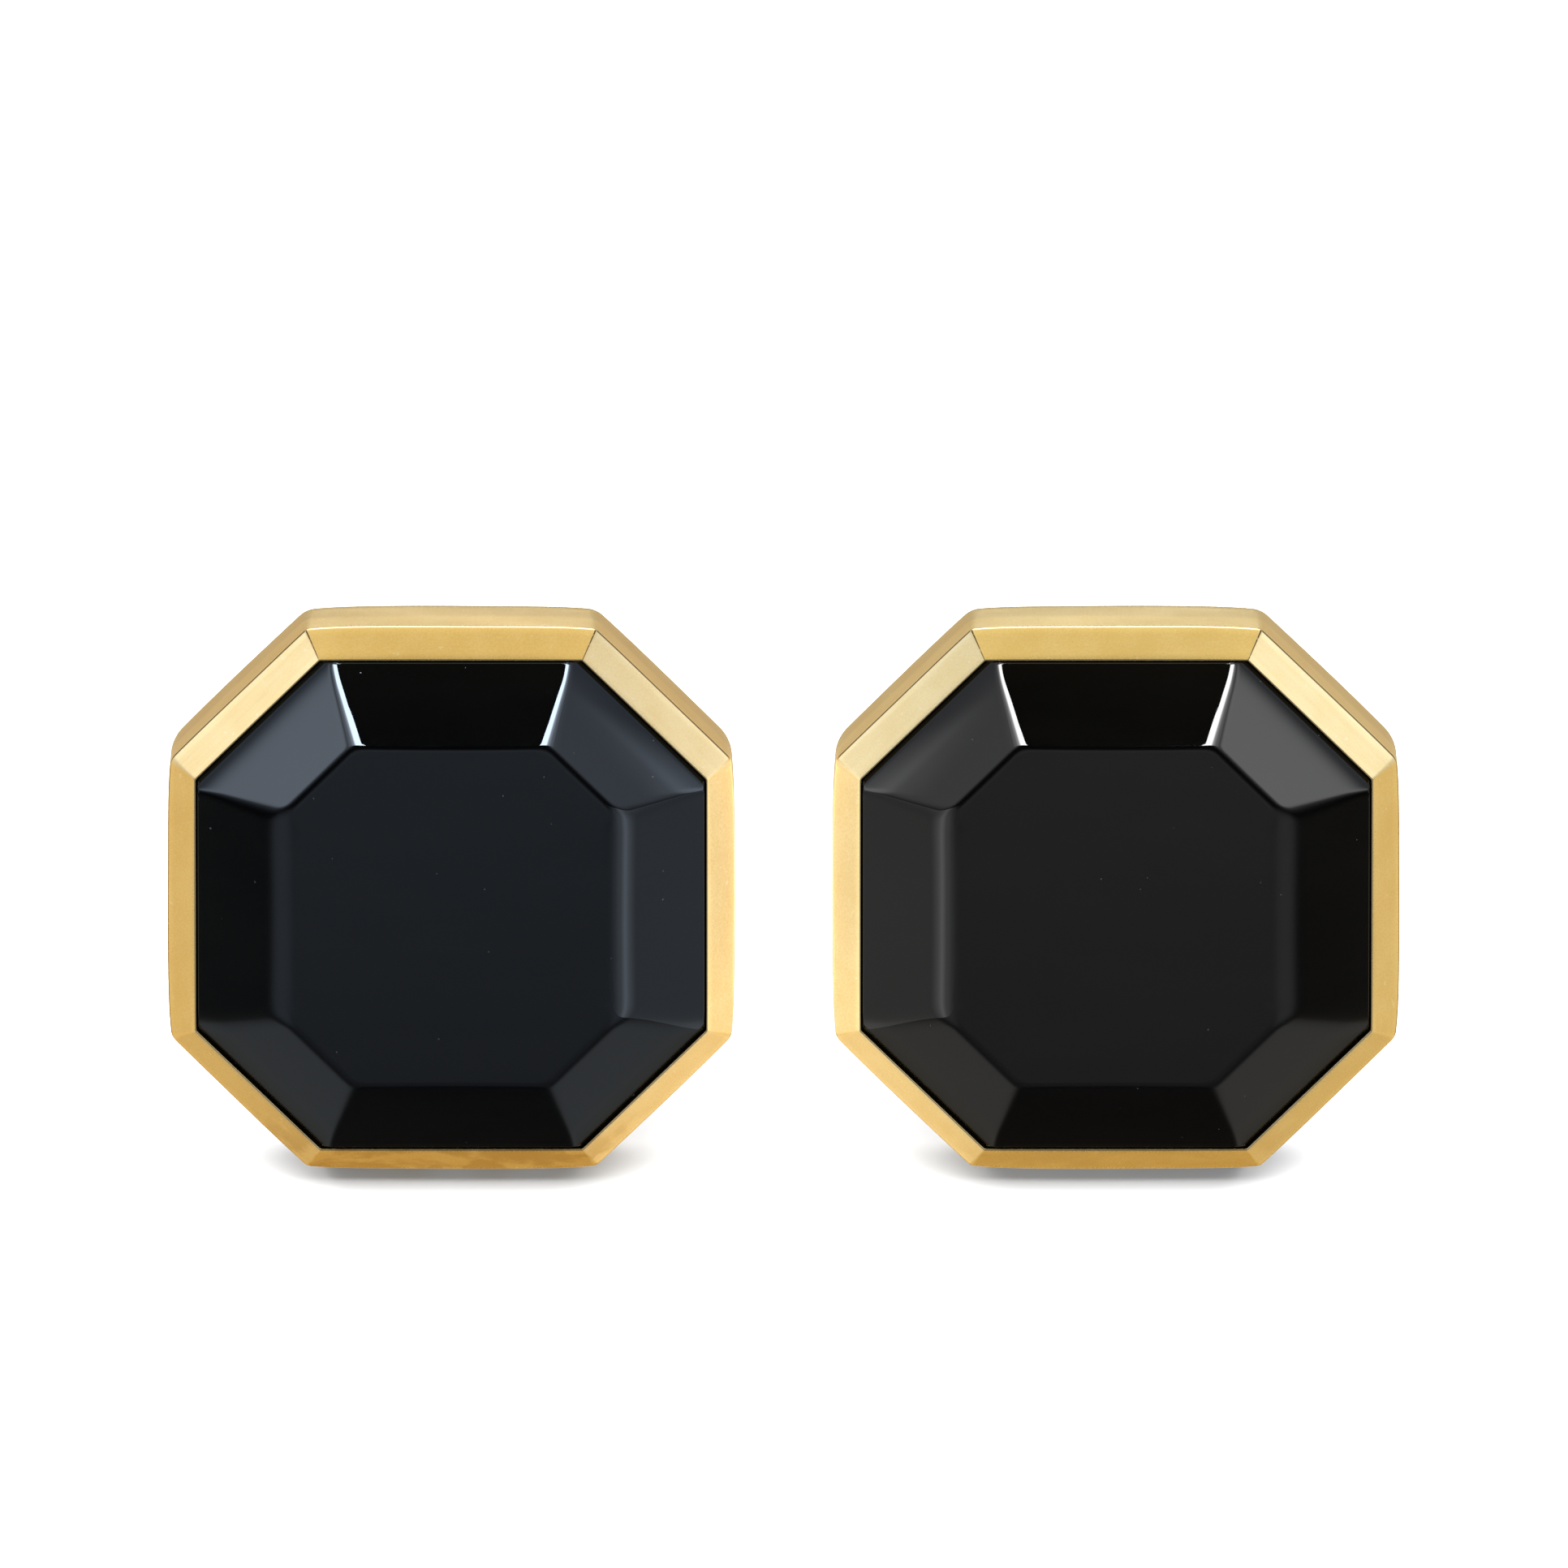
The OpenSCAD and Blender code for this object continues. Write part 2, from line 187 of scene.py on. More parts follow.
class Board:
    """A node tree with one way to add a node."""

    def __init__(self, tree: bpy.types.NodeTree) -> None:
        """Clears the tree and wraps it."""
        tree.nodes.clear()
        self.tree = tree

    def node(
        self,
        kind: str,
        settings: Mapping[str, object] | None = None,
        sockets: Mapping[str | int, object] | None = None,
    ) -> bpy.types.Node:
        """Adds one node.

        Args:
            kind: The node's type, as Blender names it after ShaderNode.
            settings: Attributes to set first; "stops" gives a ramp's positions and colours.
            sockets: Values, signals or links of its input sockets, by name or number.

        Returns:
            The new node.
        """
        node = self.tree.nodes.new(f"ShaderNode{kind}")
        for name, value in (settings or {}).items():
            if name == "stops":
                self._fill_ramp(node.color_ramp, value)
            else:
                setattr(node, name, value)
        for key, value in (sockets or {}).items():
            source = value.socket if isinstance(value, Signal) else value
            if isinstance(source, Socket):
                self.tree.links.new(source, node.inputs[key])
            else:
                node.inputs[key].default_value = self._fitted(node.inputs[key], source)
        return node

    @staticmethod
    def _fitted(socket: Socket, value: object) -> object:
        """The value, with an alpha where a colour has three numbers."""
        return (*value, 1.0) if socket.type == "RGBA" and len(value) == 3 else value

    @staticmethod
    def _fill_ramp(ramp: bpy.types.ColorRamp, stops: Sequence[tuple[float, Rgb]]) -> None:
        """Sets a ramp's stops.

        Args:
            ramp: The ramp to fill.
            stops: Positions with their colours.
        """
        while len(ramp.elements) < len(stops):
            ramp.elements.new(1.0)
        for element, (position, colour) in zip(ramp.elements, stops):
            element.position = position
            element.color = (*colour, 1.0)

    def mix(self, share: Signal, start: object, end: object) -> Socket:
        """Blends two colours, from start at 0 to end at 1."""
        return self.node("Mix", {"data_type": "RGBA"}, {0: share, 6: start, 7: end}).outputs[2]

    def vector(self, operation: str, *terms: object) -> Socket:
        """The vector that one Vector Math node gives."""
        settings = {"operation": operation}
        return self.node("VectorMath", settings, dict(enumerate(terms))).outputs["Vector"]

    def dot(self, first: object, second: object) -> Signal:
        """Dot product of two vectors."""
        node = self.node("VectorMath", {"operation": "DOT_PRODUCT"}, {0: first, 1: second})
        return Signal(self, node.outputs["Value"])

    def threefold(self, number: Signal) -> Socket:
        """The vector that holds a number three times."""
        return self.node("CombineXYZ", {}, dict.fromkeys(range(3), number)).outputs[0]

    def parts(self, vector: object) -> list[Signal]:
        """The three numbers of a vector."""
        return [Signal(self, end) for end in self.node("SeparateXYZ", {}, {0: vector}).outputs]

    def place_mm(self, stretch: Triple = (1, 1, 1)) -> Socket:
        """The surface point in the row frame, in millimetres, stretched along X, Y and Z."""
        spot = self.node("TexCoord").outputs["Object"]
        return self.vector("MULTIPLY", spot, tuple(s / MM for s in stretch))

    def along_wall(self, stretch: Triple = (1, 1, 1)) -> Socket:
        """The surface point along and across the head's unrolled wall, in millimetres, stretched."""
        way = self.node("Attribute", {"attribute_name": "way"}).outputs["Vector"]
        return self.vector("MULTIPLY", way, stretch)

    def painted(self, name: str) -> Signal:
        """A number that a mesh carries at its points, or zero where it has none."""
        return Signal(self, self.node("Attribute", {"attribute_name": name}).outputs["Fac"])

    def bump(self, height: Signal, depth: float) -> Socket:
        """The surface normal of a relief from 0 to 1 that is some metres deep."""
        return self.node("Bump", {}, {"Distance": depth, "Height": height}).outputs["Normal"]


# ---- finishes


@dataclass(frozen=True)
class Grain:
    """Soft noise: ripples per millimetre, finer layers, their strength and the stretch of its ground."""

    per_mm: float
    layers: float = 2.0
    strength: float = 0.5
    stretch: Triple = (1.0, 1.0, 1.0)
    on_wall: bool = False

    def on(self, board: Board) -> Signal:
        """Adds the noise to a material.

        Args:
            board: The material's node board.

        Returns:
            The noise, from 0 to 1, in the row frame or along the head's unrolled wall.
        """
        spot = board.along_wall(self.stretch) if self.on_wall else board.place_mm(self.stretch)
        sockets = {"Vector": spot, "Scale": self.per_mm, "Detail": self.layers, "Roughness": self.strength}
        return Signal(board, board.node("TexNoise", {}, sockets).outputs[0])


@dataclass(frozen=True)
class Finish:
    """A surface finish with its own procedural material."""

    name: str
    slot: Slot | None = None

    def material(self) -> bpy.types.Material:
        """Makes the material, or finds the one already made.

        Returns:
            The Blender material.
        """
        made = bpy.data.materials.get(self.name)
        if made is None:
            made = bpy.data.materials.new(self.name)
            made.use_nodes = True
            board = Board(made.node_tree)
            shader = board.node("BsdfPrincipled", {}, self.surface(board))
            board.node("OutputMaterial", {}, {"Surface": shader.outputs["BSDF"]})
        return made

    def surface(self, board: Board) -> Inputs:
        """What each socket of the Principled shader takes, by its name."""
        raise NotImplementedError


@dataclass(frozen=True)
class SatinGold(Finish):
    """Cast gold with satin grain, strokes along the walls and rubbed bright edges, with painted shade as
    brown streaks low down and a painted darker, cooler reflection on the rear of its walls.
    """

    colour: Rgb = (0.93, 0.735, 0.395)
    deep: Rgb = (0.86, 0.64, 0.30)
    seam: Rgb = (0.16, 0.09, 0.03)
    speck: Rgb = (1.0, 0.9, 0.68)
    # painted reflection and shade: the rear of the outer wall is tinted darker and cooler
    rear_tint: Rgb = (0.88, 0.88, 0.91)
    rear_edge: Span = (1.62, 2.0)
    # painted shade: brown streaks that darken the gold near the floor, standing in for shade and dark
    # reflections
    stain: Rgb = (0.55, 0.34, 0.10)
    stain_edge: Span = (1.3, 3.2)
    stained: float = 0.0
    roughness: float = 0.33
    edge_roughness: float = 0.2
    grain: Grain = Grain(15.0, 3.0, 0.65)
    grain_depth: float = 1.6e-6
    strokes: Grain = Grain(1.0, stretch=(0.5, 11.0, 1.0), on_wall=True)
    mottling: Grain = Grain(0.9)
    specks: Grain = Grain(5.5, 1.0)
    # the streak pattern of the painted shade low down
    smears: Grain = Grain(1.0, 3.0, stretch=(0.75, 1.2, 1.0), on_wall=True)
    seam_gaps: Grain = Grain(7.0)
    seam_depth: float = 4.0
    seam_roughness: float = 0.3

    def surface(self, board: Board) -> Inputs:
        """Grain, strokes, rubbed edges and the dark line of a mitre.

        Args:
            board: The material's node board.

        Returns:
            Values and links by socket name.
        """
        grain, strokes, wear = self.grain.on(board), self.strokes.on(board), board.painted("wear")
        seam = board.painted("seam").between(0.25, 0.9) * self.seam_gaps.on(board).between(0.26, 0.42)
        rough = self.roughness + (grain - 0.5) * 0.16 + (strokes - 0.5) * 0.10
        rough = rough - wear * (self.roughness - self.edge_roughness)
        relief = (grain * 0.7 + strokes * 0.5) * (1.0 - wear * 0.7) - seam * self.seam_depth
        return {
            "Base Color": board.mix(seam, self.tinted(board, grain, strokes, wear), self.seam),
            "Metallic": 1.0,
            "Roughness": rough + seam * self.seam_roughness,
            "Normal": board.bump(relief, self.grain_depth),
        }

    def tinted(self, board: Board, grain: Signal, strokes: Signal, wear: Signal) -> Socket:
        """Mottles and specks the gold, paints shade as brown streaks low down, and paints a darker, cooler
        reflection on the rear of its walls.

        Args:
            board: The material's node board.
            grain: The satin grain.
            strokes: The strokes along the walls.
            wear: Where the edges are rubbed.

        Returns:
            The colour socket.
        """
        mottle = (self.mottling.on(board) - 0.5) * 1.1
        tone = (0.45 + mottle + (grain - 0.5) * 2.2 + wear * 0.4).between(0.0, 1.0)
        base = board.mix(tone, self.deep, self.colour)
        rise = board.parts(board.along_wall())[1]
        # painted reflection and shade: darker, cooler tone on the rear of the outer wall
        rear = 1.0 - (rise + (strokes - 0.5) * 0.25).between(*self.rear_edge)
        base = board.mix(rear, base, board.vector("MULTIPLY", base, self.rear_tint))
        base = board.mix(self.specks.on(board).between(0.71, 0.78) * 0.5, base, self.speck)
        # painted shade: brown streaks darken the gold low down, near the floor
        low = 1.0 - board.parts(board.place_mm())[2].between(*self.stain_edge)
        return board.mix(low * self.smears.on(board).between(0.42, 0.58) * self.stained, base, self.stain)


@dataclass(frozen=True)
class TurnedGold(Finish):
    """Smoother gold of the closure, with fine polishing lines and rubbed edges."""

    colour: Rgb = (0.92, 0.71, 0.36)
    deep: Rgb = (0.84, 0.60, 0.26)
    roughness: float = 0.16
    lines: Grain = Grain(2.2, 3.0, 0.6, (1.0, 9.0, 9.0))
    line_depth: float = 6e-7
    smears: Grain = Grain(1.1, 3.0)
    grain: Grain = Grain(24.0)

    def surface(self, board: Board) -> Inputs:
        """Polishing lines, faint smears and bright edges.

        Args:
            board: The material's node board.

        Returns:
            Values and links by socket name.
        """
        lines, smear, wear = self.lines.on(board), self.smears.on(board), board.painted("wear")
        tone = (0.5 + (smear - 0.5) * 0.8 + (lines - 0.5) * 0.6 + wear * 0.3).between(0.0, 1.0)
        return {
            "Base Color": board.mix(tone, self.deep, self.colour),
            "Metallic": 1.0,
            "Roughness": self.roughness + (smear - 0.5) * 0.06 + (lines - 0.5) * 0.08 - wear * 0.05,
            "Normal": board.bump(lines + self.grain.on(board) * 0.4, self.line_depth),
        }


@dataclass(frozen=True)
class SpringSteel(Finish):
    """Blank spring steel, ground along its length."""

    colour: Rgb = (0.60, 0.61, 0.63)
    deep: Rgb = (0.40, 0.41, 0.44)
    roughness: float = 0.28
    lines: Grain = Grain(1.5, 3.0, stretch=(0.6, 14.0, 14.0))
    line_depth: float = 8e-7
    stains: Grain = Grain(1.6, 3.0)

    def surface(self, board: Board) -> Inputs:
        """Grinding lines with faint stains of oil.

        Args:
            board: The material's node board.

        Returns:
            Values and links by socket name.
        """
        lines = self.lines.on(board)
        tone = ((lines - 0.5) * 1.4 + self.stains.on(board)).between(0.0, 1.0)
        return {
            "Base Color": board.mix(tone, self.deep, self.colour),
            "Metallic": 1.0,
            "Roughness": self.roughness + (lines - 0.5) * 0.2,
            "Normal": board.bump(lines, self.line_depth),
        }


@dataclass(frozen=True)
class BlackOnyx(Finish):
    """Polished black stone, with the faint ripple of hand polishing, hairlines and a little dust."""

    colour: Rgb = (0.0002, 0.0002, 0.0002)
    band: Rgb = (0.0005, 0.0005, 0.0005)
    # colours the stone's reflections; a blue tint here is painted bluish light
    tint: Rgb = (1.0, 1.0, 1.0)
    dust: Rgb = (0.03, 0.03, 0.032)
    roughness: float = 0.02
    refraction: float = 1.54
    bands: Grain = Grain(0.7, stretch=(0.25, 0.9, 0.9))
    specks: Grain = Grain(9.0, 0.0)
    hairs: Grain = Grain(1.1, stretch=(3.0, 0.5, 0.5))
    haze: Grain = Grain(0.5)
    ripple: Grain = Grain(0.35, 1.0)
    ripple_depth: float = 5e-6

    def surface(self, board: Board) -> Inputs:
        """Faint bands, dust specks, hairline scratches and polishing ripple.

        Args:
            board: The material's node board.

        Returns:
            Values and links by socket name.
        """
        specks = self.specks.on(board).between(0.9, 0.907)
        hairlines = 1.0 - (self.hairs.on(board) - 0.5).size().between(0.001, 0.006)
        rough = self.roughness + self.haze.on(board) * 0.015 + hairlines * 0.006 + specks * 0.2
        base = board.mix(self.bands.on(board).between(0.35, 0.7), self.colour, self.band)
        return {
            "Base Color": board.mix(specks, base, self.dust),
            "Roughness": rough,
            "Normal": board.bump(self.ripple.on(board), self.ripple_depth),
            "IOR": self.refraction,
            "Specular Tint": self.tint,
        }


@dataclass(frozen=True)
class SettingCement(Finish):
    """Dull grey resin that beds the stone."""

    colour: Rgb = (0.20, 0.19, 0.17)
    deep: Rgb = (0.10, 0.095, 0.085)
    roughness: float = 0.7
    lumps: Grain = Grain(2.0, 4.0, 0.6)
    lump_depth: float = 4e-6

    def surface(self, board: Board) -> Inputs:
        """Lumpy resin with fine filler grains.

        Args:
            board: The material's node board.

        Returns:
            Values and links by socket name.
        """
        lumps = self.lumps.on(board)
        return {
            "Base Color": board.mix(lumps.between(0.3, 0.7), self.deep, self.colour),
            "Roughness": self.roughness + (lumps - 0.5) * 0.3,
            "Normal": board.bump(lumps, self.lump_depth),
        }


@dataclass(frozen=True)
class PaperFloor(Finish):
    """Plain pale paper under the pair."""

    colour: Rgb = (0.86, 0.86, 0.86)
    deep: Rgb = (0.8471, 0.8471, 0.8471)
    roughness: float = 0.85
    fibres: Grain = Grain(3.0, 3.0)

    def surface(self, board: Board) -> Inputs:
        """Even white with a hardly visible fibre.

        Args:
            board: The material's node board.

        Returns:
            Values and links by socket name.
        """
        fibre = self.fibres.on(board)
        return {
            "Base Color": board.mix(fibre, self.deep, self.colour),
            "Roughness": self.roughness + (fibre - 0.5) * 0.1,
            "Specular IOR Level": 0.0,
        }


HEAD_GOLD = {
    # How much painted shade lies low down is set for each frame.
    Side.LEFT: SatinGold("satin_gold_of_the_left_frame", Slot.SATIN_GOLD, stained=0.5),
    # The right frame's gold is painted paler than the left's: a lighter copy of the same gold that stands
    # in for brighter light on it.
    Side.RIGHT: SatinGold(
        "paler_satin_gold_of_the_right_frame",
        Slot.SATIN_GOLD,
        colour=(0.94, 0.77, 0.43),
        deep=(0.87, 0.675, 0.33),
        stained=0.15,
    ),
}
BACK_GOLD = SatinGold(
    "brushed_gold_of_the_back",
    Slot.SATIN_GOLD_BACK,
    roughness=0.3,
    grain=Grain(11.0, 3.0, 0.65),
    grain_depth=2e-6,
)
SHANK_GOLD = TurnedGold(
    "polished_gold_of_the_shank", Slot.POLISHED_GOLD, lines=Grain(2.2, 3.0, 0.6, (9.0, 1.0, 1.0))
)
TOGGLE_GOLD = TurnedGold("polished_gold_of_the_toggle", Slot.POLISHED_GOLD, roughness=0.13)
PIN_GOLD = TurnedGold("riveted_gold_of_the_pin", Slot.PIN_GOLD, roughness=0.22, line_depth=1.2e-6)
STEEL = SpringSteel("ground_spring_steel", Slot.SPRING_STEEL)
ONYX = {
    # The left stone's blue specular tint is painted bluish light in its reflections; the stone itself is
    # plain black like the right one.
    Side.LEFT: BlackOnyx("blue_black_onyx", Slot.BLACK_ONYX, tint=(0.85, 1.0, 1.2)),
    Side.RIGHT: BlackOnyx("plain_black_onyx", Slot.BLACK_ONYX),
}
CEMENT = SettingCement("grey_setting_cement", Slot.SETTING_CEMENT)
FLOOR = PaperFloor("pale_paper_floor")


# ---- mesh building


@dataclass(frozen=True)
class Place:
    """Where one cufflink stands: it leans back, and the right one is the mirror image of the left."""

    side: Side
    lean: float
    middle: Triple

    def matrix(self) -> Matrix:
        """The way from the cufflink's own millimetres to the row frame in metres.

        Returns:
            The matrix, which mirrors for the right side.
        """
        x, y, z = self.middle
        stand = Matrix.Translation(Vector((self.side.value * x, y, z)) * MM)
        turn = Matrix.Rotation(math.pi / 2 - self.lean, 4, "X")
        mirror = Matrix.Diagonal((-self.side.value, 1, 1, 1))
        return stand @ turn @ mirror @ Matrix.Scale(MM, 4)


@dataclass
class Ring:
    """One closed row of points of a surface, with what its points carry for the shader."""

    points: Points
    wear: float = 0.0
    rise: float = 0.0
    runs: Points | None = None
    seams: Points | None = None


@dataclass(frozen=True)
class SectionPoint:
    """A point of a section: distance in from the outer wall, height, and how worn its edge is."""

    inset: float
    height: float
    wear: float = 0.0

    def apart(self, other: "SectionPoint") -> float:
        """Distance to another point."""
        return math.hypot(other.inset - self.inset, other.height - self.height)

    def toward(self, other: "SectionPoint", share: float) -> "SectionPoint":
        """The unworn point some share of the way to another."""
        along, up = other.inset - self.inset, other.height - self.height
        return SectionPoint(self.inset + along * share, self.height + up * share)


def put_in_scene(name: str, data: bpy.types.ID) -> Piece:
    """Makes an object of a mesh, a light or a camera and puts it in the scene.

    Args:
        name: Name of the object.
        data: What it shows.

    Returns:
        The object, at the origin.
    """
    made = bpy.data.objects.new(name, data)
    bpy.context.scene.collection.objects.link(made)
    return made


def even_normals(piece: Piece) -> None:
    """Shades a piece smoothly, led by its large faces."""
    piece.modifiers.new("even_normals", "WEIGHTED_NORMAL").keep_sharp = True


class Shell:
    """A mesh in the making, joined from rings of points in one cufflink's own millimetres."""

    def __init__(self, name: str) -> None:
        """Starts an empty mesh with the layers that the finishes read.

        Args:
            name: Name of the piece.
        """
        self.name = name
        self.mesh = bmesh.new()
        layers = self.mesh.verts.layers
        self.wear, self.seam = layers.float.new("wear"), layers.float.new("seam")
        self.way = layers.float_vector.new("way")

    def add_ring(self, ring: Ring) -> list[bmesh.types.BMVert]:
        """Adds a ring's points.

        Args:
            ring: The ring.

        Returns:
            The new points in order.
        """
        made = []
        for i, point in enumerate(ring.points):
            vert = self.mesh.verts.new(point)
            vert[self.wear] = ring.wear
            vert[self.seam] = 0.0 if ring.seams is None else ring.seams[i]
            vert[self.way] = (0.0 if ring.runs is None else ring.runs[i], ring.rise, 0.0)
            made.append(vert)
        return made

    def skin(self, rings: Sequence[Ring], closed: bool = False) -> "Shell":
        """Joins rings into one surface.

        Args:
            rings: The rings in order, all with as many points.
            closed: Whether the last joins the first; otherwise both ends are capped.

        Returns:
            The shell itself.
        """
        rows = [self.add_ring(r) for r in rings]
        for low, high in zip(rows, rows[1:] + (rows[:1] if closed else [])):
            for a, b, c, d in zip(low, low[1:] + low[:1], high[1:] + high[:1], high):
                self.mesh.faces.new((a, b, c, d))
        if not closed:
            self.mesh.faces.new(rows[0][::-1])
            self.mesh.faces.new(rows[-1])
        return self

    def finish(self, matrix: Matrix | None = None) -> Piece:
        """Places the mesh and makes it a smooth piece.

        Args:
            matrix: From the mesh's frame to the row frame, or None if it is in that already.

        Returns:
            The new object.
        """
        if matrix is not None:
            self.mesh.transform(matrix)
        bmesh.ops.recalc_face_normals(self.mesh, faces=self.mesh.faces[:])
        for face in self.mesh.faces:
            face.smooth = True
        data = bpy.data.meshes.new(self.name)
        self.mesh.to_mesh(data)
        self.mesh.free()
        piece = put_in_scene(self.name, data)
        even_normals(piece)
        return piece


class SoftenedSolid(Shell):
    """A CAD solid's own mesh with every sharp edge eased, as after tumbling and polishing."""

    weld: float = 2e-7
    flat_within: float = math.radians(0.6)
    sharp_over: float = 0.42

    def __init__(self, name: str, node: str, easing: float, steps: int = 3) -> None:
        """Copies a CAD node's mesh and eases its edges.

        Args:
            name: Name of the new piece.
            node: The CAD node.
            easing: Width of the eased edge, in millimetres.
            steps: Segments across it.
        """
        super().__init__(name)
        mesh = self.mesh
        mesh.from_mesh(frame["nodes"][node].data)
        bmesh.ops.remove_doubles(mesh, verts=mesh.verts[:], dist=self.weld)
        around = {"verts": mesh.verts[:], "edges": mesh.edges[:]}
        bmesh.ops.dissolve_limit(mesh, angle_limit=self.flat_within, **around)
        sharp = [e for e in mesh.edges if len(e.link_faces) == 2 and e.calc_face_angle() > self.sharp_over]
        width = {"offset": easing * MM, "segments": steps, "profile": 0.5}
        made = bmesh.ops.bevel(mesh, geom=sharp, affect="EDGES", clamp_overlap=True, **width)
        for vert in made["verts"]:
            vert[self.wear] = 1.0


@dataclass(frozen=True)
class Octagon:
    """The head's outline: a square with cut corners, at any distance in from its outer wall."""

    width: float = 17.0
    cut: float = 4.22
    arc_steps: int = 10
    flat_steps: int = 20
    side_polish: float = 0.085
    corner_polish: float = 0.02
    polish_reach: float = 0.85
    side_corner_growth: float = 1.6

    def standard_cut(self, inset: float) -> float:
        """The corner cut at a distance in from the outer wall."""
        return self.cut - inset * (2 - math.sqrt(2))

    def reach(self, k: int) -> float:
        """Distance of side k from the middle."""
        return self.width / 2 if k % 2 == 0 else (self.width - self.cut) / math.sqrt(2)

    @staticmethod
    def heading(turn: float) -> Points:
        """Unit vector at a turn from the right."""
        return np.array([math.cos(turn), math.sin(turn)])

    @classmethod
    def facing(cls, k: int) -> Points:
        """Unit vector that side k faces, counted from the right."""
        return cls.heading(math.radians(45 * k))

    def corner(self, k: int, inset: float, cut: float) -> Points:
        """Corner k, counted from the right.

        Args:
            k: Number of the corner, from 0 to 7.
            inset: Distance in from the outer wall.
            cut: Length cut off there.

        Returns:
            Its place.
        """
        far = self.width / 2 - inset
        x, y = (far, far - cut) if k % 2 == 0 else (far - cut, far)
        turn = math.pi / 2 * (k // 2)
        c, s = self.heading(turn)
        return np.array([x * c - y * s, x * s + y * c])

    def ring(self, inset: float, radius: float, polish: float) -> Points:
        """The outline as points, always as many and in the same order.

        Args:
            inset: Distance in from the outer wall.
            radius: Rounding of its corners.
            polish: Share of the wear that draws the walls in beside the corners.

        Returns:
            The points, N by 2.
        """
        cut = self.standard_cut(inset)
        draws = [polish * (self.side_polish if k % 2 == 0 else self.corner_polish) for k in range(9)]
        corners = [self.corner(k % 8, inset, cut) for k in range(9)]
        arcs = []
        for k in range(8):
            rounding = radius * (self.side_corner_growth if k in (0, 3, 4, 7) else 1.0)
            start = math.radians(45 * k) + draws[k] / self.polish_reach
            end = math.radians(45 * k + 45) - draws[k + 1] / self.polish_reach
            out, ahead = self.facing(k), self.facing(k + 1)
            chord = 2 * rounding * math.sin((end - start) / 2) * self.heading((start + end + math.pi) / 2)
            span = chord - out * draws[k] + ahead * draws[k + 1]
            along = self.facing(k + 2)
            before, after = np.linalg.solve(np.stack([along, self.facing(k + 3)], 1), span)
            first = corners[k] - along * before - out * draws[k]
            centre = first - rounding * self.heading(start)
            turns = np.linspace(start, end, self.arc_steps + 1)
            arcs.append((before, after, centre + rounding * np.stack([np.cos(turns), np.sin(turns)], 1)))
        points = []
        for k in range(8):
            points.extend(arcs[k][2])
            out = self.facing(k + 1)
            way = corners[k + 1] - corners[k]
            length = float(np.hypot(*way))
            low, high = arcs[k][1], length - arcs[(k + 1) % 8][0]
            for i in range(1, self.flat_steps):
                run = low + (high - low) * (1 - math.cos(math.pi * i / self.flat_steps)) / 2
                draw = draws[k + 1] * math.exp(-min(run - low, high - run) / self.polish_reach)
                points.append(corners[k] + way / length * run - out * draw)
        return np.array(points)

    def runs(self) -> Points:
        """Distance of each point along the outer wall, in millimetres."""
        steps = np.hypot(*np.diff(self.ring(0.0, 0.5, 0.0), axis=0).T)
        return np.concatenate([[0.0], np.cumsum(steps)])

    def mitre_marks(self, corners: Sequence[int]) -> Points:
        """1 on the mitre of each named corner and 0 elsewhere.

        Args:
            corners: Numbers of the corners.

        Returns:
            One number for each point.
        """
        per_corner = self.arc_steps + self.flat_steps
        marks = np.zeros(8 * per_corner)
        for k in corners:
            middle = k * per_corner + self.arc_steps // 2
            marks[middle - 1 : middle + 2] = (0.7, 1.0, 0.7)
        return marks


def eased_section(
    corners: Sequence[Triple], closed: bool, steps: int = 6, reach: float = 0.22
) -> list[SectionPoint]:
    """Rounds the corners of a section and adds points along its long sides.

    Args:
        corners: Inset, height and rounding of each corner, in millimetres.
        closed: Whether the last corner joins the first.
        steps: Segments in each rounded corner.
        reach: Longest side without a point between its ends.

    Returns:
        The section's points.
    """
    places = [np.array(c[:2], float) for c in corners]
    rows: list[SectionPoint] = []
    for i, (_, _, radius) in enumerate(corners):
        here = places[i]
        if radius == 0 or (not closed and i in (0, len(corners) - 1)):
            rows.append(SectionPoint(*here))
            continue
        u = places[i - 1] - here
        v = places[(i + 1) % len(corners)] - here
        u, v = u / np.linalg.norm(u), v / np.linalg.norm(v)
        half = math.acos(float(np.clip(u @ v, -1, 1))) / 2
        centre = here + (u + v) / np.linalg.norm(u + v) * radius / math.sin(half)
        start = here + u * radius / math.tan(half) - centre
        side = -1 if u[0] * v[1] - u[1] * v[0] > 0 else 1
        for j in range(steps + 1):
            c, s = Octagon.heading(side * (math.pi - 2 * half) * j / steps)
            spun = centre + np.array([[c, -s], [s, c]]) @ start
            rows.append(SectionPoint(*spun, 1.0 if 0 < j < steps else 0.5))
    filled: list[SectionPoint] = []
    for row, ahead in zip(rows, rows[1:] + (rows[:1] if closed else rows[-1:])):
        count = min(MOST_FILLS, int(row.apart(ahead) / reach))
        filled += [row, *(row.toward(ahead, j / (count + 1)) for j in range(1, count + 1))]
    return filled


def spun_rings(
    profile: Sequence[SectionPoint], axis_height: float, along: Axis, steps: int = 48
) -> list[Ring]:
    """Spins a profile about an axis of the closure.

    Args:
        profile: Points whose inset is the place along the axis and whose height is the radius.
        axis_height: Height of the axis in the cufflink's frame, in millimetres.
        along: The axis.
        steps: Points around.

    Returns:
        One ring for each point of the profile.
    """
    turns = np.linspace(0, 2 * math.pi, steps, endpoint=False)
    rings = []
    for p in profile:
        side, up = p.height * np.cos(turns), p.height * np.sin(turns)
        level = np.full(steps, p.inset)
        row = (level, side, up + axis_height) if along is Axis.BARREL else (side, level, up + axis_height)
        rings.append(Ring(np.stack(row, 1), p.wear, p.inset, turns * p.height))
    return rings


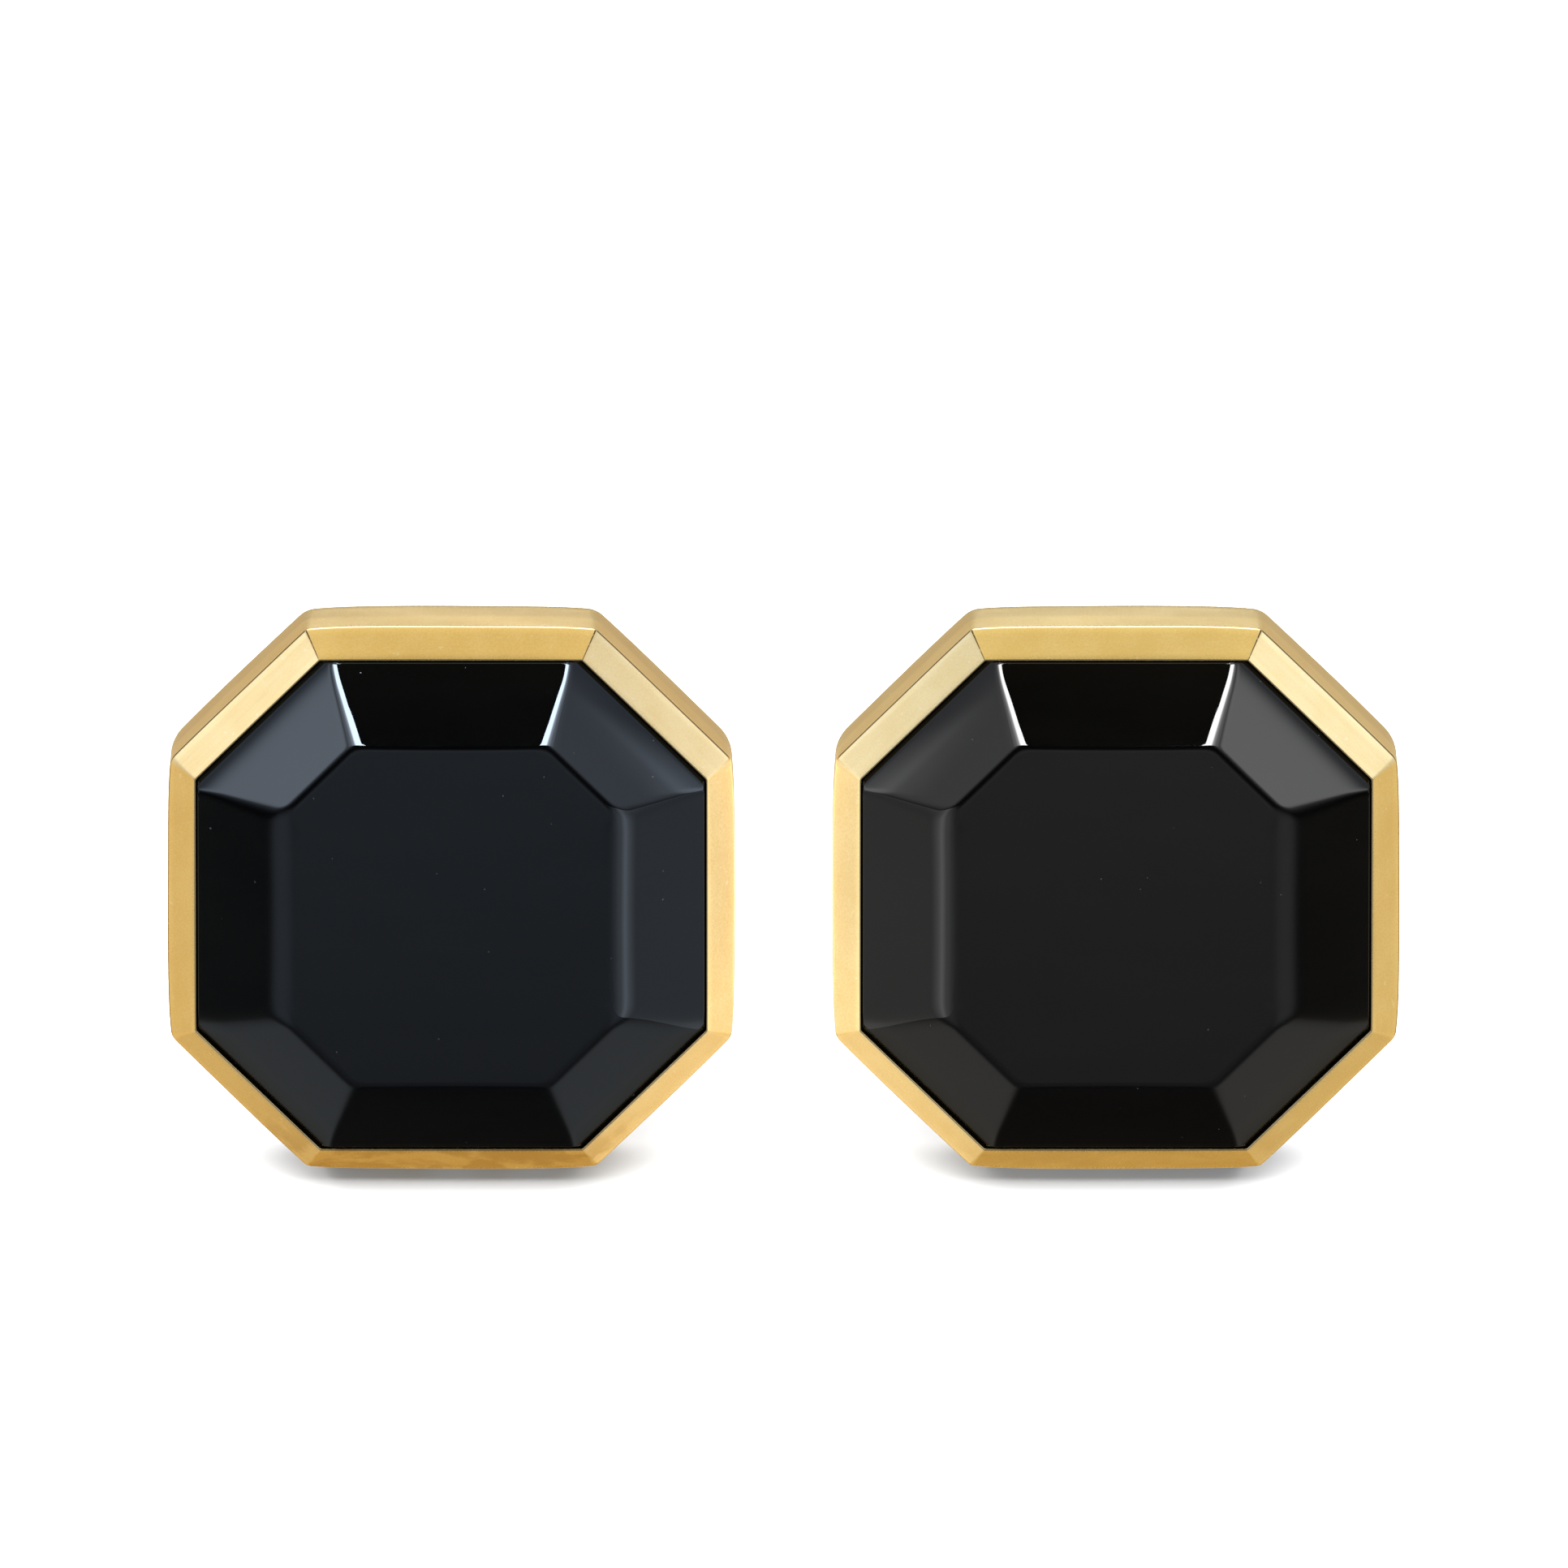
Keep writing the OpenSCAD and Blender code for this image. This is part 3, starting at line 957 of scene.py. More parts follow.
def paint(piece: Piece, finish: Finish) -> None:
    """Gives a piece one finish."""
    piece.data.materials.clear()
    piece.data.materials.append(finish.material())


def dress(piece: Piece, finish: Finish, body: str, *nodes: str) -> None:
    """Gives a piece its finish and its body, and lets it stand for CAD nodes.

    Args:
        piece: The new piece.
        finish: Its finish.
        body: The CAD body that it rides on.
        nodes: The CAD nodes that it stands for.
    """
    paint(piece, finish)
    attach(piece, body)
    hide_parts(*nodes)
    LOG.info("%s: %d faces, on %s", piece.name, len(piece.data.polygons), body)


def repaint(node: str, finish: Finish) -> None:
    """Gives a CAD node that stays its better material."""
    paint(frame["nodes"][node], finish)
    LOG.info("%s: CAD solid kept, %s", node, finish.name)


# ---- the cufflink


def eight(*values: float) -> Points:
    """Makes a field of eight values, counted from the right; fewer values repeat."""
    return field(default_factory=lambda: np.array(values * (8 // len(values))))


def eased_shares(steps: int) -> Points:
    """Shares from 0 to 1 that lie closer towards both ends."""
    return (1 - np.cos(np.pi * np.linspace(0, 1, steps + 1))) / 2


@dataclass
class StoneCut:
    """The stone's facets and table, as planes that melt into each other along polished edges."""

    foot_z: float = 3.19
    table_z: float = 4.43
    foot: Points = eight(7.58, 7.93, 7.58, 7.93, 7.58, 8.0, 7.58, 8.0)
    table: Points = eight(5.05, 5.79, 5.26, 5.79)
    table_melt: Points = eight(0.27, 0.09, 0.05, 0.09)
    mitre_melt_foot: Points = eight(0.05, 0.05, 0.05, 0.05, 0.2, 0.06, 0.06, 0.2)
    mitre_melt_table: Points = eight(0.16, 0.12, 0.12, 0.16, 0.14, 0.1, 0.1, 0.14)
    facet_crown: float = 0.012
    foot_round: Points = eight(0.004, 0.035)
    foot_reach: float = 0.3
    corner_reach: float = 0.3
    table_crown: float = 0.04
    along_steps: int = 34

    @property
    def outward(self) -> Points:
        """Unit vectors that the sides face, 8 by 2."""
        turns = np.radians(45 * np.arange(8))
        return np.stack([np.cos(turns), np.sin(turns)], 1)

    def level(self, share: float) -> Points:
        """Distance of each facet from the middle, from 0 at the foot to 1 at the table."""
        return self.foot + (self.table - self.foot) * share

    @staticmethod
    def melt(low: Points, high: Points, width: Points | float) -> Points:
        """The lower of two heights, rounded over where they come within a width of each other."""
        return low - np.maximum(width - (high - low), 0.0) ** 2 / (4 * width)

    def height(self, spots: Points) -> Points:
        """Height of the stone's face.

        Args:
            spots: Places across it, N by 2.

        Returns:
            N heights.
        """
        away = spots @ self.outward.T
        share = (self.foot - away) / (self.foot - self.table)
        inside = np.clip(share, 0, 1)
        crown = self.facet_crown * 4 * inside * (1 - inside)
        crown = crown - self.foot_round * np.clip(1 - share / self.foot_reach, 0, 1.5) ** 2
        planes = self.foot_z + (self.table_z - self.foot_z) * share + crown
        order = np.argsort(planes, 1)[:, :2]
        low, high = np.take_along_axis(planes, order, 1).T
        up = np.clip((low - self.foot_z) / (self.table_z - self.foot_z), 0, 1)
        corner = np.where((order[:, 1] - order[:, 0]) % 8 == 1, order[:, 0], order[:, 1])
        foot_melt, table_melt = self.mitre_melt_foot[corner], self.mitre_melt_table[corner]
        mitred = self.melt(low, high, foot_melt + (table_melt - foot_melt) * up)
        own = 0.5 + np.clip((high - low) / self.corner_reach, 0, 0.5)
        width = self.table_melt[order[:, 0]] * own + self.table_melt[order[:, 1]] * (1 - own)
        table = self.table_z + self.table_crown * (1 - (spots**2).sum(1) / self.table[0] ** 2)
        return self.melt(np.minimum(mitred, table), np.maximum(mitred, table), width)

    def ring(self, distances: Sequence[float], height: float | None = None, drop: float = 0.0) -> Ring:
        """A row of points round the stone.

        Args:
            distances: Distance of each of the eight sides from the middle.
            height: Height of the row, or None to lay it on the stone's face.
            drop: How far under the face it lies.

        Returns:
            The row.
        """
        d, out = np.asarray(distances), self.outward
        ahead, next_out = np.roll(d, -1), np.roll(out, -1, 0)
        turned = np.stack([out[:, 1], -out[:, 0]], 1)
        next_turned = np.stack([next_out[:, 1], -next_out[:, 0]], 1)
        corners = (d[:, None] * next_turned - ahead[:, None] * turned) / math.sin(math.pi / 4)
        sides = (np.roll(corners, -1, 0) - corners)[:, None]
        along = eased_shares(self.along_steps)[:-1, None]
        spots = (corners[:, None] + sides * along).reshape(-1, 2)
        heights = self.height(spots) - drop if height is None else np.full(len(spots), height)
        return Ring(np.column_stack([spots, heights]))


@dataclass
class Assembly:
    """A sub-assembly of one cufflink."""

    place: Place

    def named(self, name: str) -> str:
        """A name with the cufflink's side before it."""
        return f"{self.place.side.word}_{name}"

    def skinned(self, name: str, rings: Sequence[Ring], closed: bool = False) -> Piece:
        """Skins rings into a piece that stands in its place."""
        return Shell(self.named(name)).skin(rings, closed).finish(self.place.matrix())

    def ease(self, name: str, look: str, finish: Finish, easing: float, steps: int = 3) -> None:
        """Puts an eased copy of a CAD solid in its place.

        Args:
            name: The node's name without its side.
            look: Last word of the new piece's name.
            finish: Its finish.
            easing: Width of its eased edges, in millimetres.
            steps: Segments across them.
        """
        node = self.named(name)
        solid = SoftenedSolid(f"{node}_{look}", node, easing, steps)
        dress(solid.finish(), finish, PAIR_BODY, node)


@dataclass
class Head(Assembly):
    """The octagonal head: cast frame, faceted stone, cement bed, back plate and boss."""

    outline: Octagon = field(default_factory=Octagon)
    pocket: Octagon = field(default_factory=lambda: Octagon(cut=4.3))
    cut: StoneCut = field(default_factory=StoneCut)
    wall_h: float = 2.45
    rim_r: float = 0.3
    crest_r: float = 0.13
    border_w: float = 0.86
    border_h: float = 0.78
    lip_r: float = 0.035
    ledge_w: float = 0.8
    ledge_t: float = 0.7
    plate_t: float = 0.6
    plate_rim_w: float = 0.6
    inner_r: float = 0.04
    corner_r_back: float = 0.85
    corner_r_crest: float = 0.32
    corner_r_lip: float = 0.1
    stone_gap: float = 0.03
    cement_t: float = 0.15
    plate_easing: float = 0.07
    open_mitres: tuple[int, ...] = (1, 2)
    mitre_past: float = 0.02
    wave_depth: float = 0.0007
    wave_round: float = 0.9
    wave_up: float = 2.3
    girdle_foot: tuple[Span, ...] = ((0.6, 0.0), (0.09, 0.0), (0.03, 0.02), (0.0, 0.08))
    girdle_edge: tuple[Span, ...] = ((0.0, 0.06), (0.004, 0.03), (0.018, 0.01), (0.04, 0.0))
    facet_rings: int = 36
    table_rings: int = 17
    table_start: float = 0.012
    table_margin: float = 1.2
    table_shares: tuple[float, ...] = (0.85, 0.7, 0.55, 0.4, 0.25, 0.12, 0.03)

    @property
    def border_top(self) -> float:
        """Height of the border's inner edge over the back plane."""
        return self.wall_h + self.border_h

    @property
    def ledge_z(self) -> float:
        """Height of the ledge over the back plane."""
        return self.plate_t + self.ledge_t

    def frame_corner_r(self, inset: float, height: float) -> float:
        """Rounding of the frame's upright corner edges.

        Args:
            inset: Distance in from the outer wall.
            height: Height over the back plane.

        Returns:
            The radius, which shrinks from the back rim to the border's inner edge.
        """
        up = min(max(height / self.wall_h, 0.0), 1.0)
        outer = self.corner_r_back + (self.corner_r_crest - self.corner_r_back) * up
        inward = min(inset / self.border_w, 1.0)
        return self.corner_r_lip + (outer - self.corner_r_lip) * (1 - inward) ** 2

    def bezel_frame(self) -> Piece:
        """The frame as one ring-shaped section carried round the octagon.

        Returns:
            The frame.
        """
        ledge_in = self.border_w + self.ledge_w
        corners = [
            (self.plate_rim_w, 0.0, self.inner_r),
            (0.0, 0.0, self.rim_r),
            (0.0, self.wall_h, self.crest_r),
            (self.border_w, self.border_top, self.lip_r),
            (self.border_w, self.ledge_z, self.inner_r),
            (ledge_in, self.ledge_z, self.inner_r),
            (ledge_in, self.plate_t, self.inner_r),
            (self.plate_rim_w, self.plate_t, self.inner_r),
        ]
        section = eased_section(corners, closed=True)
        runs, marks = self.outline.runs(), self.outline.mitre_marks(self.open_mitres)
        rings, rise = [], 0.0
        for p, before in zip(section, section[:1] + section):
            rise += p.apart(before)
            front = max(0.0, 1 - p.inset / self.border_w)
            round_plate = p.height <= self.plate_t and p.inset > self.plate_rim_w - self.inner_r
            outline = self.pocket if round_plate else self.outline
            flat = outline.ring(p.inset, self.frame_corner_r(p.inset, p.height), front)
            on_border = self.wall_h - self.mitre_past < p.height and p.inset < self.border_w
            wave = np.sin(runs * self.wave_round + self.wave_up * p.height)
            flat = flat * (1 - self.wave_depth * front * wave)[:, None]
            points = np.column_stack([flat, np.full(len(flat), p.height)])
            rings.append(Ring(points, p.wear, rise, runs, marks if on_border else None))
        return self.skinned("bezel_frame_polished", rings, closed=True)

    def onyx_stone(self) -> Piece:
        """The stone: an eased girdle under eight soft-edged facets and a faintly crowned table.

        Returns:
            The stone.
        """
        stone_in, stone_z = self.border_w + self.stone_gap, self.ledge_z + self.cement_t
        girdle = np.array([self.outline.reach(k) - stone_in for k in range(8)])
        ring, table = self.cut.ring, self.cut.table
        rings = [ring(girdle - inset, stone_z + rise) for inset, rise in self.girdle_foot]
        rings += [ring(girdle - inset, None, drop) for inset, drop in self.girdle_edge]
        rings += [ring(self.cut.level(share)) for share in eased_shares(self.facet_rings)[2:]]
        insets = np.geomspace(self.table_start, self.table_margin, self.table_rings)
        rings += [ring(table - inset) for inset in insets]
        rings += [ring((table - self.table_margin) * share) for share in self.table_shares]
        return self.skinned("onyx_stone_polished", rings)

    def build(self) -> None:
        """Builds and dresses the head's pieces."""
        side = self.place.side
        dress(self.bezel_frame(), HEAD_GOLD[side], PAIR_BODY, self.named("bezel_frame"))
        dress(self.onyx_stone(), ONYX[side], PAIR_BODY, self.named("onyx_stone"))
        repaint(self.named("stone_cement"), CEMENT)
        for name in ("back_plate", "shank_base"):
            self.ease(name, "brushed", BACK_GOLD, self.plate_easing)


@dataclass
class Shank(Assembly):
    """The stirrup frame behind the head and the riveted pin in its legs."""

    pin_drop: float = 13.0
    leg_out: float = 3.12
    frame_easing: float = 0.16
    pin_r: float = 0.5
    rivet_r: float = 0.95
    rivet_h: float = 0.22
    rivet_lip: float = 0.02
    dome_flatness: float = 1.2

    def hinge_pin(self) -> Piece:
        """The pin with a low hammered dome outside each leg.

        Returns:
            The pin.
        """
        dome = [
            (self.leg_out + self.rivet_h * math.cos(t) ** self.dome_flatness, self.rivet_r * math.sin(t))
            for t in map(math.radians, range(90, 0, -6))
        ]
        rim = (self.leg_out, self.rivet_r - self.rivet_lip)
        half = [(0.0, self.pin_r), (self.leg_out, self.pin_r), rim, *dome]
        profile = [SectionPoint(-x, r) for x, r in half[:0:-1]] + [SectionPoint(x, r) for x, r in half]
        return self.skinned("hinge_pin_riveted", spun_rings(profile, -self.pin_drop, Axis.PIN))

    def build(self) -> None:
        """Builds and dresses the shank and its pin."""
        self.ease("shank_frame", "polished", SHANK_GOLD, self.frame_easing, 4)
        dress(self.hinge_pin(), PIN_GOLD, PAIR_BODY, self.named("hinge_pin"))
        repaint(self.named("detent_cam"), STEEL)


@dataclass
class Toggle(Assembly):
    """The swivelling bullet: tube, two noses and the leaf spring inside."""

    pin_drop: float = 13.0
    barrel_r: float = 2.1
    barrel_in: float = 1.65
    barrel_l: float = 8.0
    nose_l: float = 3.0
    spigot_l: float = 1.0
    bore_r: float = 0.53
    seam_r: float = 0.06
    mouth_r: float = 0.02
    spigot_r: float = 0.05
    shoulder_l: float = 0.2
    drill_past: float = 1.0
    nose_steps: int = 26
    around: int = 96

    def turned(self, name: str, section: Sequence[SectionPoint], closed: bool = False) -> Piece:
        """Turns a section about the barrel's line."""
        return self.skinned(name, spun_rings(section, -self.pin_drop, Axis.BARREL, self.around), closed)

    def toggle_barrel(self) -> Piece:
        """The tube with eased ends, cross-drilled for the pin.

        Returns:
            The tube.
        """
        half = self.barrel_l / 2
        corners = [
            (-half, self.barrel_r, self.seam_r),
            (-half, self.barrel_in, self.mouth_r),
            (half, self.barrel_in, self.mouth_r),
            (half, self.barrel_r, self.seam_r),
        ]
        section = eased_section(corners, closed=True, steps=4, reach=1.0)
        tube = self.turned("toggle_barrel_polished", section, closed=True)
        reach = self.barrel_r + self.drill_past
        bore = [SectionPoint(x, self.bore_r) for x in (-reach, reach)]
        drill = self.skinned("drill", spun_rings(bore, -self.pin_drop, Axis.PIN))
        cut = tube.modifiers.new("cross_bore", "BOOLEAN")
        cut.operation, cut.object, cut.solver = "DIFFERENCE", drill, "EXACT"
        tube.modifiers.move(1, 0)
        drilled = tube.evaluated_get(bpy.context.evaluated_depsgraph_get())
        tube.data = bpy.data.meshes.new_from_object(drilled)
        tube.modifiers.clear()
        even_normals(tube)
        bpy.data.objects.remove(drill)
        return tube

    def toggle_cap(self, nose: Nose) -> Piece:
        """A bullet nose with its spigot.

        Args:
            nose: Which one.

        Returns:
            The nose.
        """
        half, shoulder = self.barrel_l / 2, self.shoulder_l / self.nose_l
        corners = [
            (half - self.spigot_l, 0.01, 0.0),
            (half - self.spigot_l, self.barrel_in, self.spigot_r),
            (half, self.barrel_in, 0.0),
            (half, self.barrel_r, self.seam_r),
            (half + self.shoulder_l, self.barrel_r * math.cos(shoulder), 0.0),
        ]
        section = eased_section(corners, closed=False, steps=4, reach=1.0)
        for i in range(1, self.nose_steps):
            turn = math.asin(shoulder) + (math.pi / 2 - shoulder) * i / self.nose_steps
            out, radius = self.nose_l * math.sin(turn), self.barrel_r * math.cos(turn)
            section.append(SectionPoint(half + out, radius))
        section = [SectionPoint(p.inset * nose.value, p.height, p.wear) for p in section]
        return self.turned(f"toggle_cap_{nose.word}_polished", section)

    def build(self) -> None:
        """Builds and dresses the toggle's pieces."""
        body = self.named("toggle")
        dress(self.toggle_barrel(), TOGGLE_GOLD, body, self.named("toggle_barrel"))
        for nose in Nose:
            dress(self.toggle_cap(nose), TOGGLE_GOLD, body, self.named(f"toggle_cap_{nose.word}"))
        repaint(self.named("detent_spring"), STEEL)


# ---- the studio


def area_light(name: str, size: Span, glow: float = 1.0) -> Piece:
    """Makes an oblong soft light.

    Args:
        name: Its name.
        size: Width and height, in metres.
        glow: Radiance of its surface.

    Returns:
        The light, at the origin.
    """
    data = bpy.data.lights.new(name, "AREA")
    data.shape = "RECTANGLE"
    data.size, data.size_y = size
    data.energy = glow * math.pi * data.size * data.size_y
    return put_in_scene(name, data)


@dataclass(frozen=True)
class TentPatch:
    """A soft patch of the light tent, by its bearing from the front and height, both in degrees."""

    bearing: float
    height: float
    glow: Rgb
    weight: float = 1.0
    spread: float = 22.0

    def direction(self) -> Triple:
        """Unit vector from the pair to the patch, on the right side."""
        b, h = math.radians(self.bearing), math.radians(self.height)
        return (math.sin(b) * math.cos(h), -math.cos(b) * math.cos(h), math.sin(h))


@dataclass(frozen=True)
class Card:
    """A light card that some pieces alone catch, in millimetres, with a mirror image."""

    name: str
    catcher: Catcher
    middle: Triple
    facing: Triple
    size: Span
    radiance: float
    grades: tuple[Span, ...] = ((0.0, 1.0), (1.0, 1.0))
    up: Triple = (0.0, 0.0, 1.0)
    soft_edge: float = 0.0

    def hang(self) -> None:
        """Makes the card and its mirror image."""
        for side in Side:
            width, height = self.size
            lamp = area_light(f"{self.name}_{side.word}", (width * MM, height * MM))
            self.grade(lamp.data, side)
            ways = (self.middle, self.facing, self.up)
            middle, facing, up = (Vector((x * side.value, y, z)) for x, y, z in ways)
            back = -facing.normalized()
            up = (up - back * up.dot(back)).normalized()
            turn = Matrix((up.cross(back), up, back)).transposed().to_4x4()
            lamp.matrix_world = Matrix.Translation(middle * MM) @ turn
            lamp.visible_camera = lamp.visible_diffuse = False
            lamp.light_linking.receiver_collection = self.catchers()
            LOG.info("light card %s", lamp.name)

    def catchers(self) -> bpy.types.Collection:
        """Gathers the pieces that catch the card.

        Returns:
            Their collection.
        """
        word = self.catcher.value
        gathered = bpy.data.collections.get(word) or bpy.data.collections.new(word)
        for piece in bpy.data.objects:
            if word in piece.name and piece.name not in gathered.objects:
                gathered.objects.link(piece)
        return gathered

    def grade(self, data: bpy.types.Light, side: Side) -> None:
        """Grades the card's brightness from its far edge to its near edge.

        Args:
            data: The light.
            side: The side that it hangs on, which turns the grading round.
        """
        data.use_nodes = True
        board = Board(data.node_tree)
        spot = board.node("NewGeometry").outputs["Parametric"]
        across, rise = board.parts(spot)[:2]
        run = across if side is Side.RIGHT else 1.0 - across
        stops = [(at, (level, level, level)) for at, level in self.grades]
        ramp = board.node("ValToRGB", {"stops": stops}, {"Fac": run})
        strength: Signal | float = self.radiance
        if self.soft_edge > 0:
            for way in (across, rise):
                strength = (way * (1.0 - way)).between(0.0, self.soft_edge / 4) * strength
        glow = board.node("Emission", {}, {"Color": ramp.outputs[0], "Strength": strength})
        board.node("OutputLight", {}, {"Surface": glow.outputs[0]})


SIDEWAYS = (1.0, 0.0, 0.0)
LEANING = (0.0, 0.335, 0.942)


@dataclass
class Studio:
    """Pale floor, light tent, soft cards and the camera at the photograph's viewing angle."""

    elevation: float = 36.45
    distance: float = 1800.0
    frame_mm: float = 47.053
    target: Triple = (0.0115, -2.974, 10.108)
    sensor: float = 36.0
    clip: Span = (0.01, 20.0)
    floor_size: float = 0.7
    floor_glow: float = 4.4
    silk_size: Span = (1.7, 0.95)
    silk_place: Triple = (0.0, 0.1, 0.5)
    sky_glow: float = 0.5
    bounce_glow: Rgb = (0.36, 0.46, 0.87)
    patches: tuple[TentPatch, ...] = (
        TentPatch(0, 2.7, (0.29,) * 3),
        TentPatch(0, 13, (0.60,) * 3, 1.2, 60),
        TentPatch(0, -8, (0.13,) * 3, 2, 60),
        TentPatch(26, 0.7, (0.5,) * 3, 1.5, 60),
        TentPatch(51, -5, (0.07,) * 3, 1.5, 40),
        TentPatch(57.7, 35.3, (0.9,) * 3, 1.5, 30),
        TentPatch(42, 44, (1.2,) * 3, 1, 90),
        TentPatch(67, 36, (0.05,) * 3, 1.2, 120),
        TentPatch(60, -50, (0.05,) * 3, 1.5, 120),
        TentPatch(52, 12, (0.0,) * 3, 3, 70),
        TentPatch(24, 21, (0.02,) * 3, 2, 50),
        TentPatch(0, 31, (0.02,) * 3, 2, 30),
        TentPatch(0, 60.8, (0.012, 0.013, 0.016), 2, 30),
        TentPatch(46.8, -43.8, (0.55,) * 3, 1.5, 40),
        TentPatch(21, -21, (0.12,) * 3, 1, 30),
        TentPatch(0, -55.5, (0.03, 0.034, 0.046), 1.5, 40),
        TentPatch(0, 88, (0.98, 0.84, 0.46), 1.3),
        TentPatch(82, 36, (0.73, 0.82, 1.0)),
        TentPatch(79, -14, (0.92, 0.78, 0.47)),
        TentPatch(110, -25, (0.30, 0.19, 0.07), 1.5, 40),
        TentPatch(72, -55, (1.12, 0.89, 0.45)),
        TentPatch(115, -60, (0.33, 0.20, 0.07), 1.5, 40),
        TentPatch(0, -82, (0.72, 0.50, 0.18)),
        TentPatch(180, -78, (0.42, 0.25, 0.06), 2, 60),
        TentPatch(180, -3, (0.41, 0.39, 0.315)),
        TentPatch(162, -19, (0.76, 0.64, 0.42)),
        TentPatch(180, 27, (4.5, 4.5, 4.3), 1.5, 70),
        TentPatch(180, 55, (0.95, 0.93, 0.86), 2, 40),
        TentPatch(130, 14, (0.10, 0.045, 0.01), 2.5, 45),
        TentPatch(180, -54, (1.1, 0.95, 0.7), 2, 40),
    )
    cards: tuple[Card, ...] = (
        Card(
            "middle_facet_card", Catcher.STONE, (0.0, -15.9, 10.3), SIDEWAYS, (20.0, 11.2), 1.6,
            ((0.0, 0.29), (0.34, 0.29), (0.43, 0.55), (0.49, 0.85), (0.58, 0.32), (0.75, 0.1), (1.0, 0.0)),
            LEANING,
        ),
        Card(
            "middle_border_card", Catcher.FRAME, (0.0, -7.77, 8.7), SIDEWAYS, (7.0, 9.8), 0.68,
            up=LEANING,
        ),
        Card(
            "low_border_card", Catcher.FRAME, (0.0, -10.2, -3.0), SIDEWAYS, (7.0, 13.0), 0.32,
            up=LEANING,
        ),
        Card(
            "outer_facet_card", Catcher.STONE, (55.8, -37.1, 48.9), (-0.661, 0.4925, -0.566), (26.0, 26.0),
            1.55, soft_edge=0.9,
        ),
        Card(
            "outer_border_card", Catcher.FRAME, (63.5, -13.5, 49.5), (-0.805, 0.109, -0.584), (24.0, 24.0),
            0.8,
        ),
        Card(
            "glint_strip", Catcher.STONE, (233.0, -505.0, 700.0), (-0.26, 0.561, -0.778), (400.0, 190.0),
            22.0, ((0.0, 1.0), (0.36, 1.0), (0.5, 0.25), (0.75, 0.06), (1.0, 0.02)), (0.2, 0.8, 0.56),
        ),
    )

    def tent(self) -> None:
        """Paints the light tent round the pair; the camera itself sees plain white."""
        world = bpy.data.worlds.new("light_tent")
        world.use_nodes = True
        board = Board(world.node_tree)
        seen = board.node("TexCoord").outputs["Generated"]
        across = board.vector("MULTIPLY", board.vector("ABSOLUTE", seen), SIDEWAYS)
        way = board.vector("ADD", across, board.vector("MULTIPLY", seen, (0.0, 1.0, 1.0)))
        total: object = (0.0, 0.0, 0.0)
        weights: Signal | None = None
        for patch in self.patches:
            near = ((board.dot(way, patch.direction()) - 1.0) * patch.spread).exp() * patch.weight
            total = board.vector("MULTIPLY_ADD", board.threefold(near), patch.glow, total)
            weights = near if weights is None else weights + near
        glow = board.vector("DIVIDE", total, board.threefold(weights))
        paths = board.node("LightPath").outputs
        bounced = Signal(board, paths["Diffuse Depth"]).between(0.0, 1.0)
        colour = board.mix(bounced, glow, self.bounce_glow)
        colour = board.mix(Signal(board, paths["Is Diffuse Ray"]), colour, (self.sky_glow,) * 3)
        colour = board.mix(Signal(board, paths["Is Camera Ray"]), colour, (1.0, 1.0, 1.0))
        shader = board.node("Background", {}, {"Color": colour, "Strength": 1.0})
        board.node("OutputWorld", {}, {"Surface": shader.outputs[0]})
        bpy.context.scene.world = world

    def floor(self) -> None:
        """Lays the pale floor, which only the camera and soft shadows see."""
        shell = Shell("paper_floor")
        half = self.floor_size / 2
        square = [(-half, -half, 0), (half, -half, 0), (half, half, 0), (-half, half, 0)]
        shell.mesh.faces.new(shell.add_ring(Ring(np.array(square))))
        paper = shell.finish()
        paint(paper, FLOOR)
        paper.visible_glossy = paper.visible_shadow = False

    def overhead(self) -> None:
        """A wide soft light over the floor, which whitens the paper and leaves the metal alone."""
        lamp = area_light("overhead_silk", self.silk_size, self.floor_glow)
        lamp.location = self.silk_place
        lamp.visible_camera = lamp.visible_glossy = False

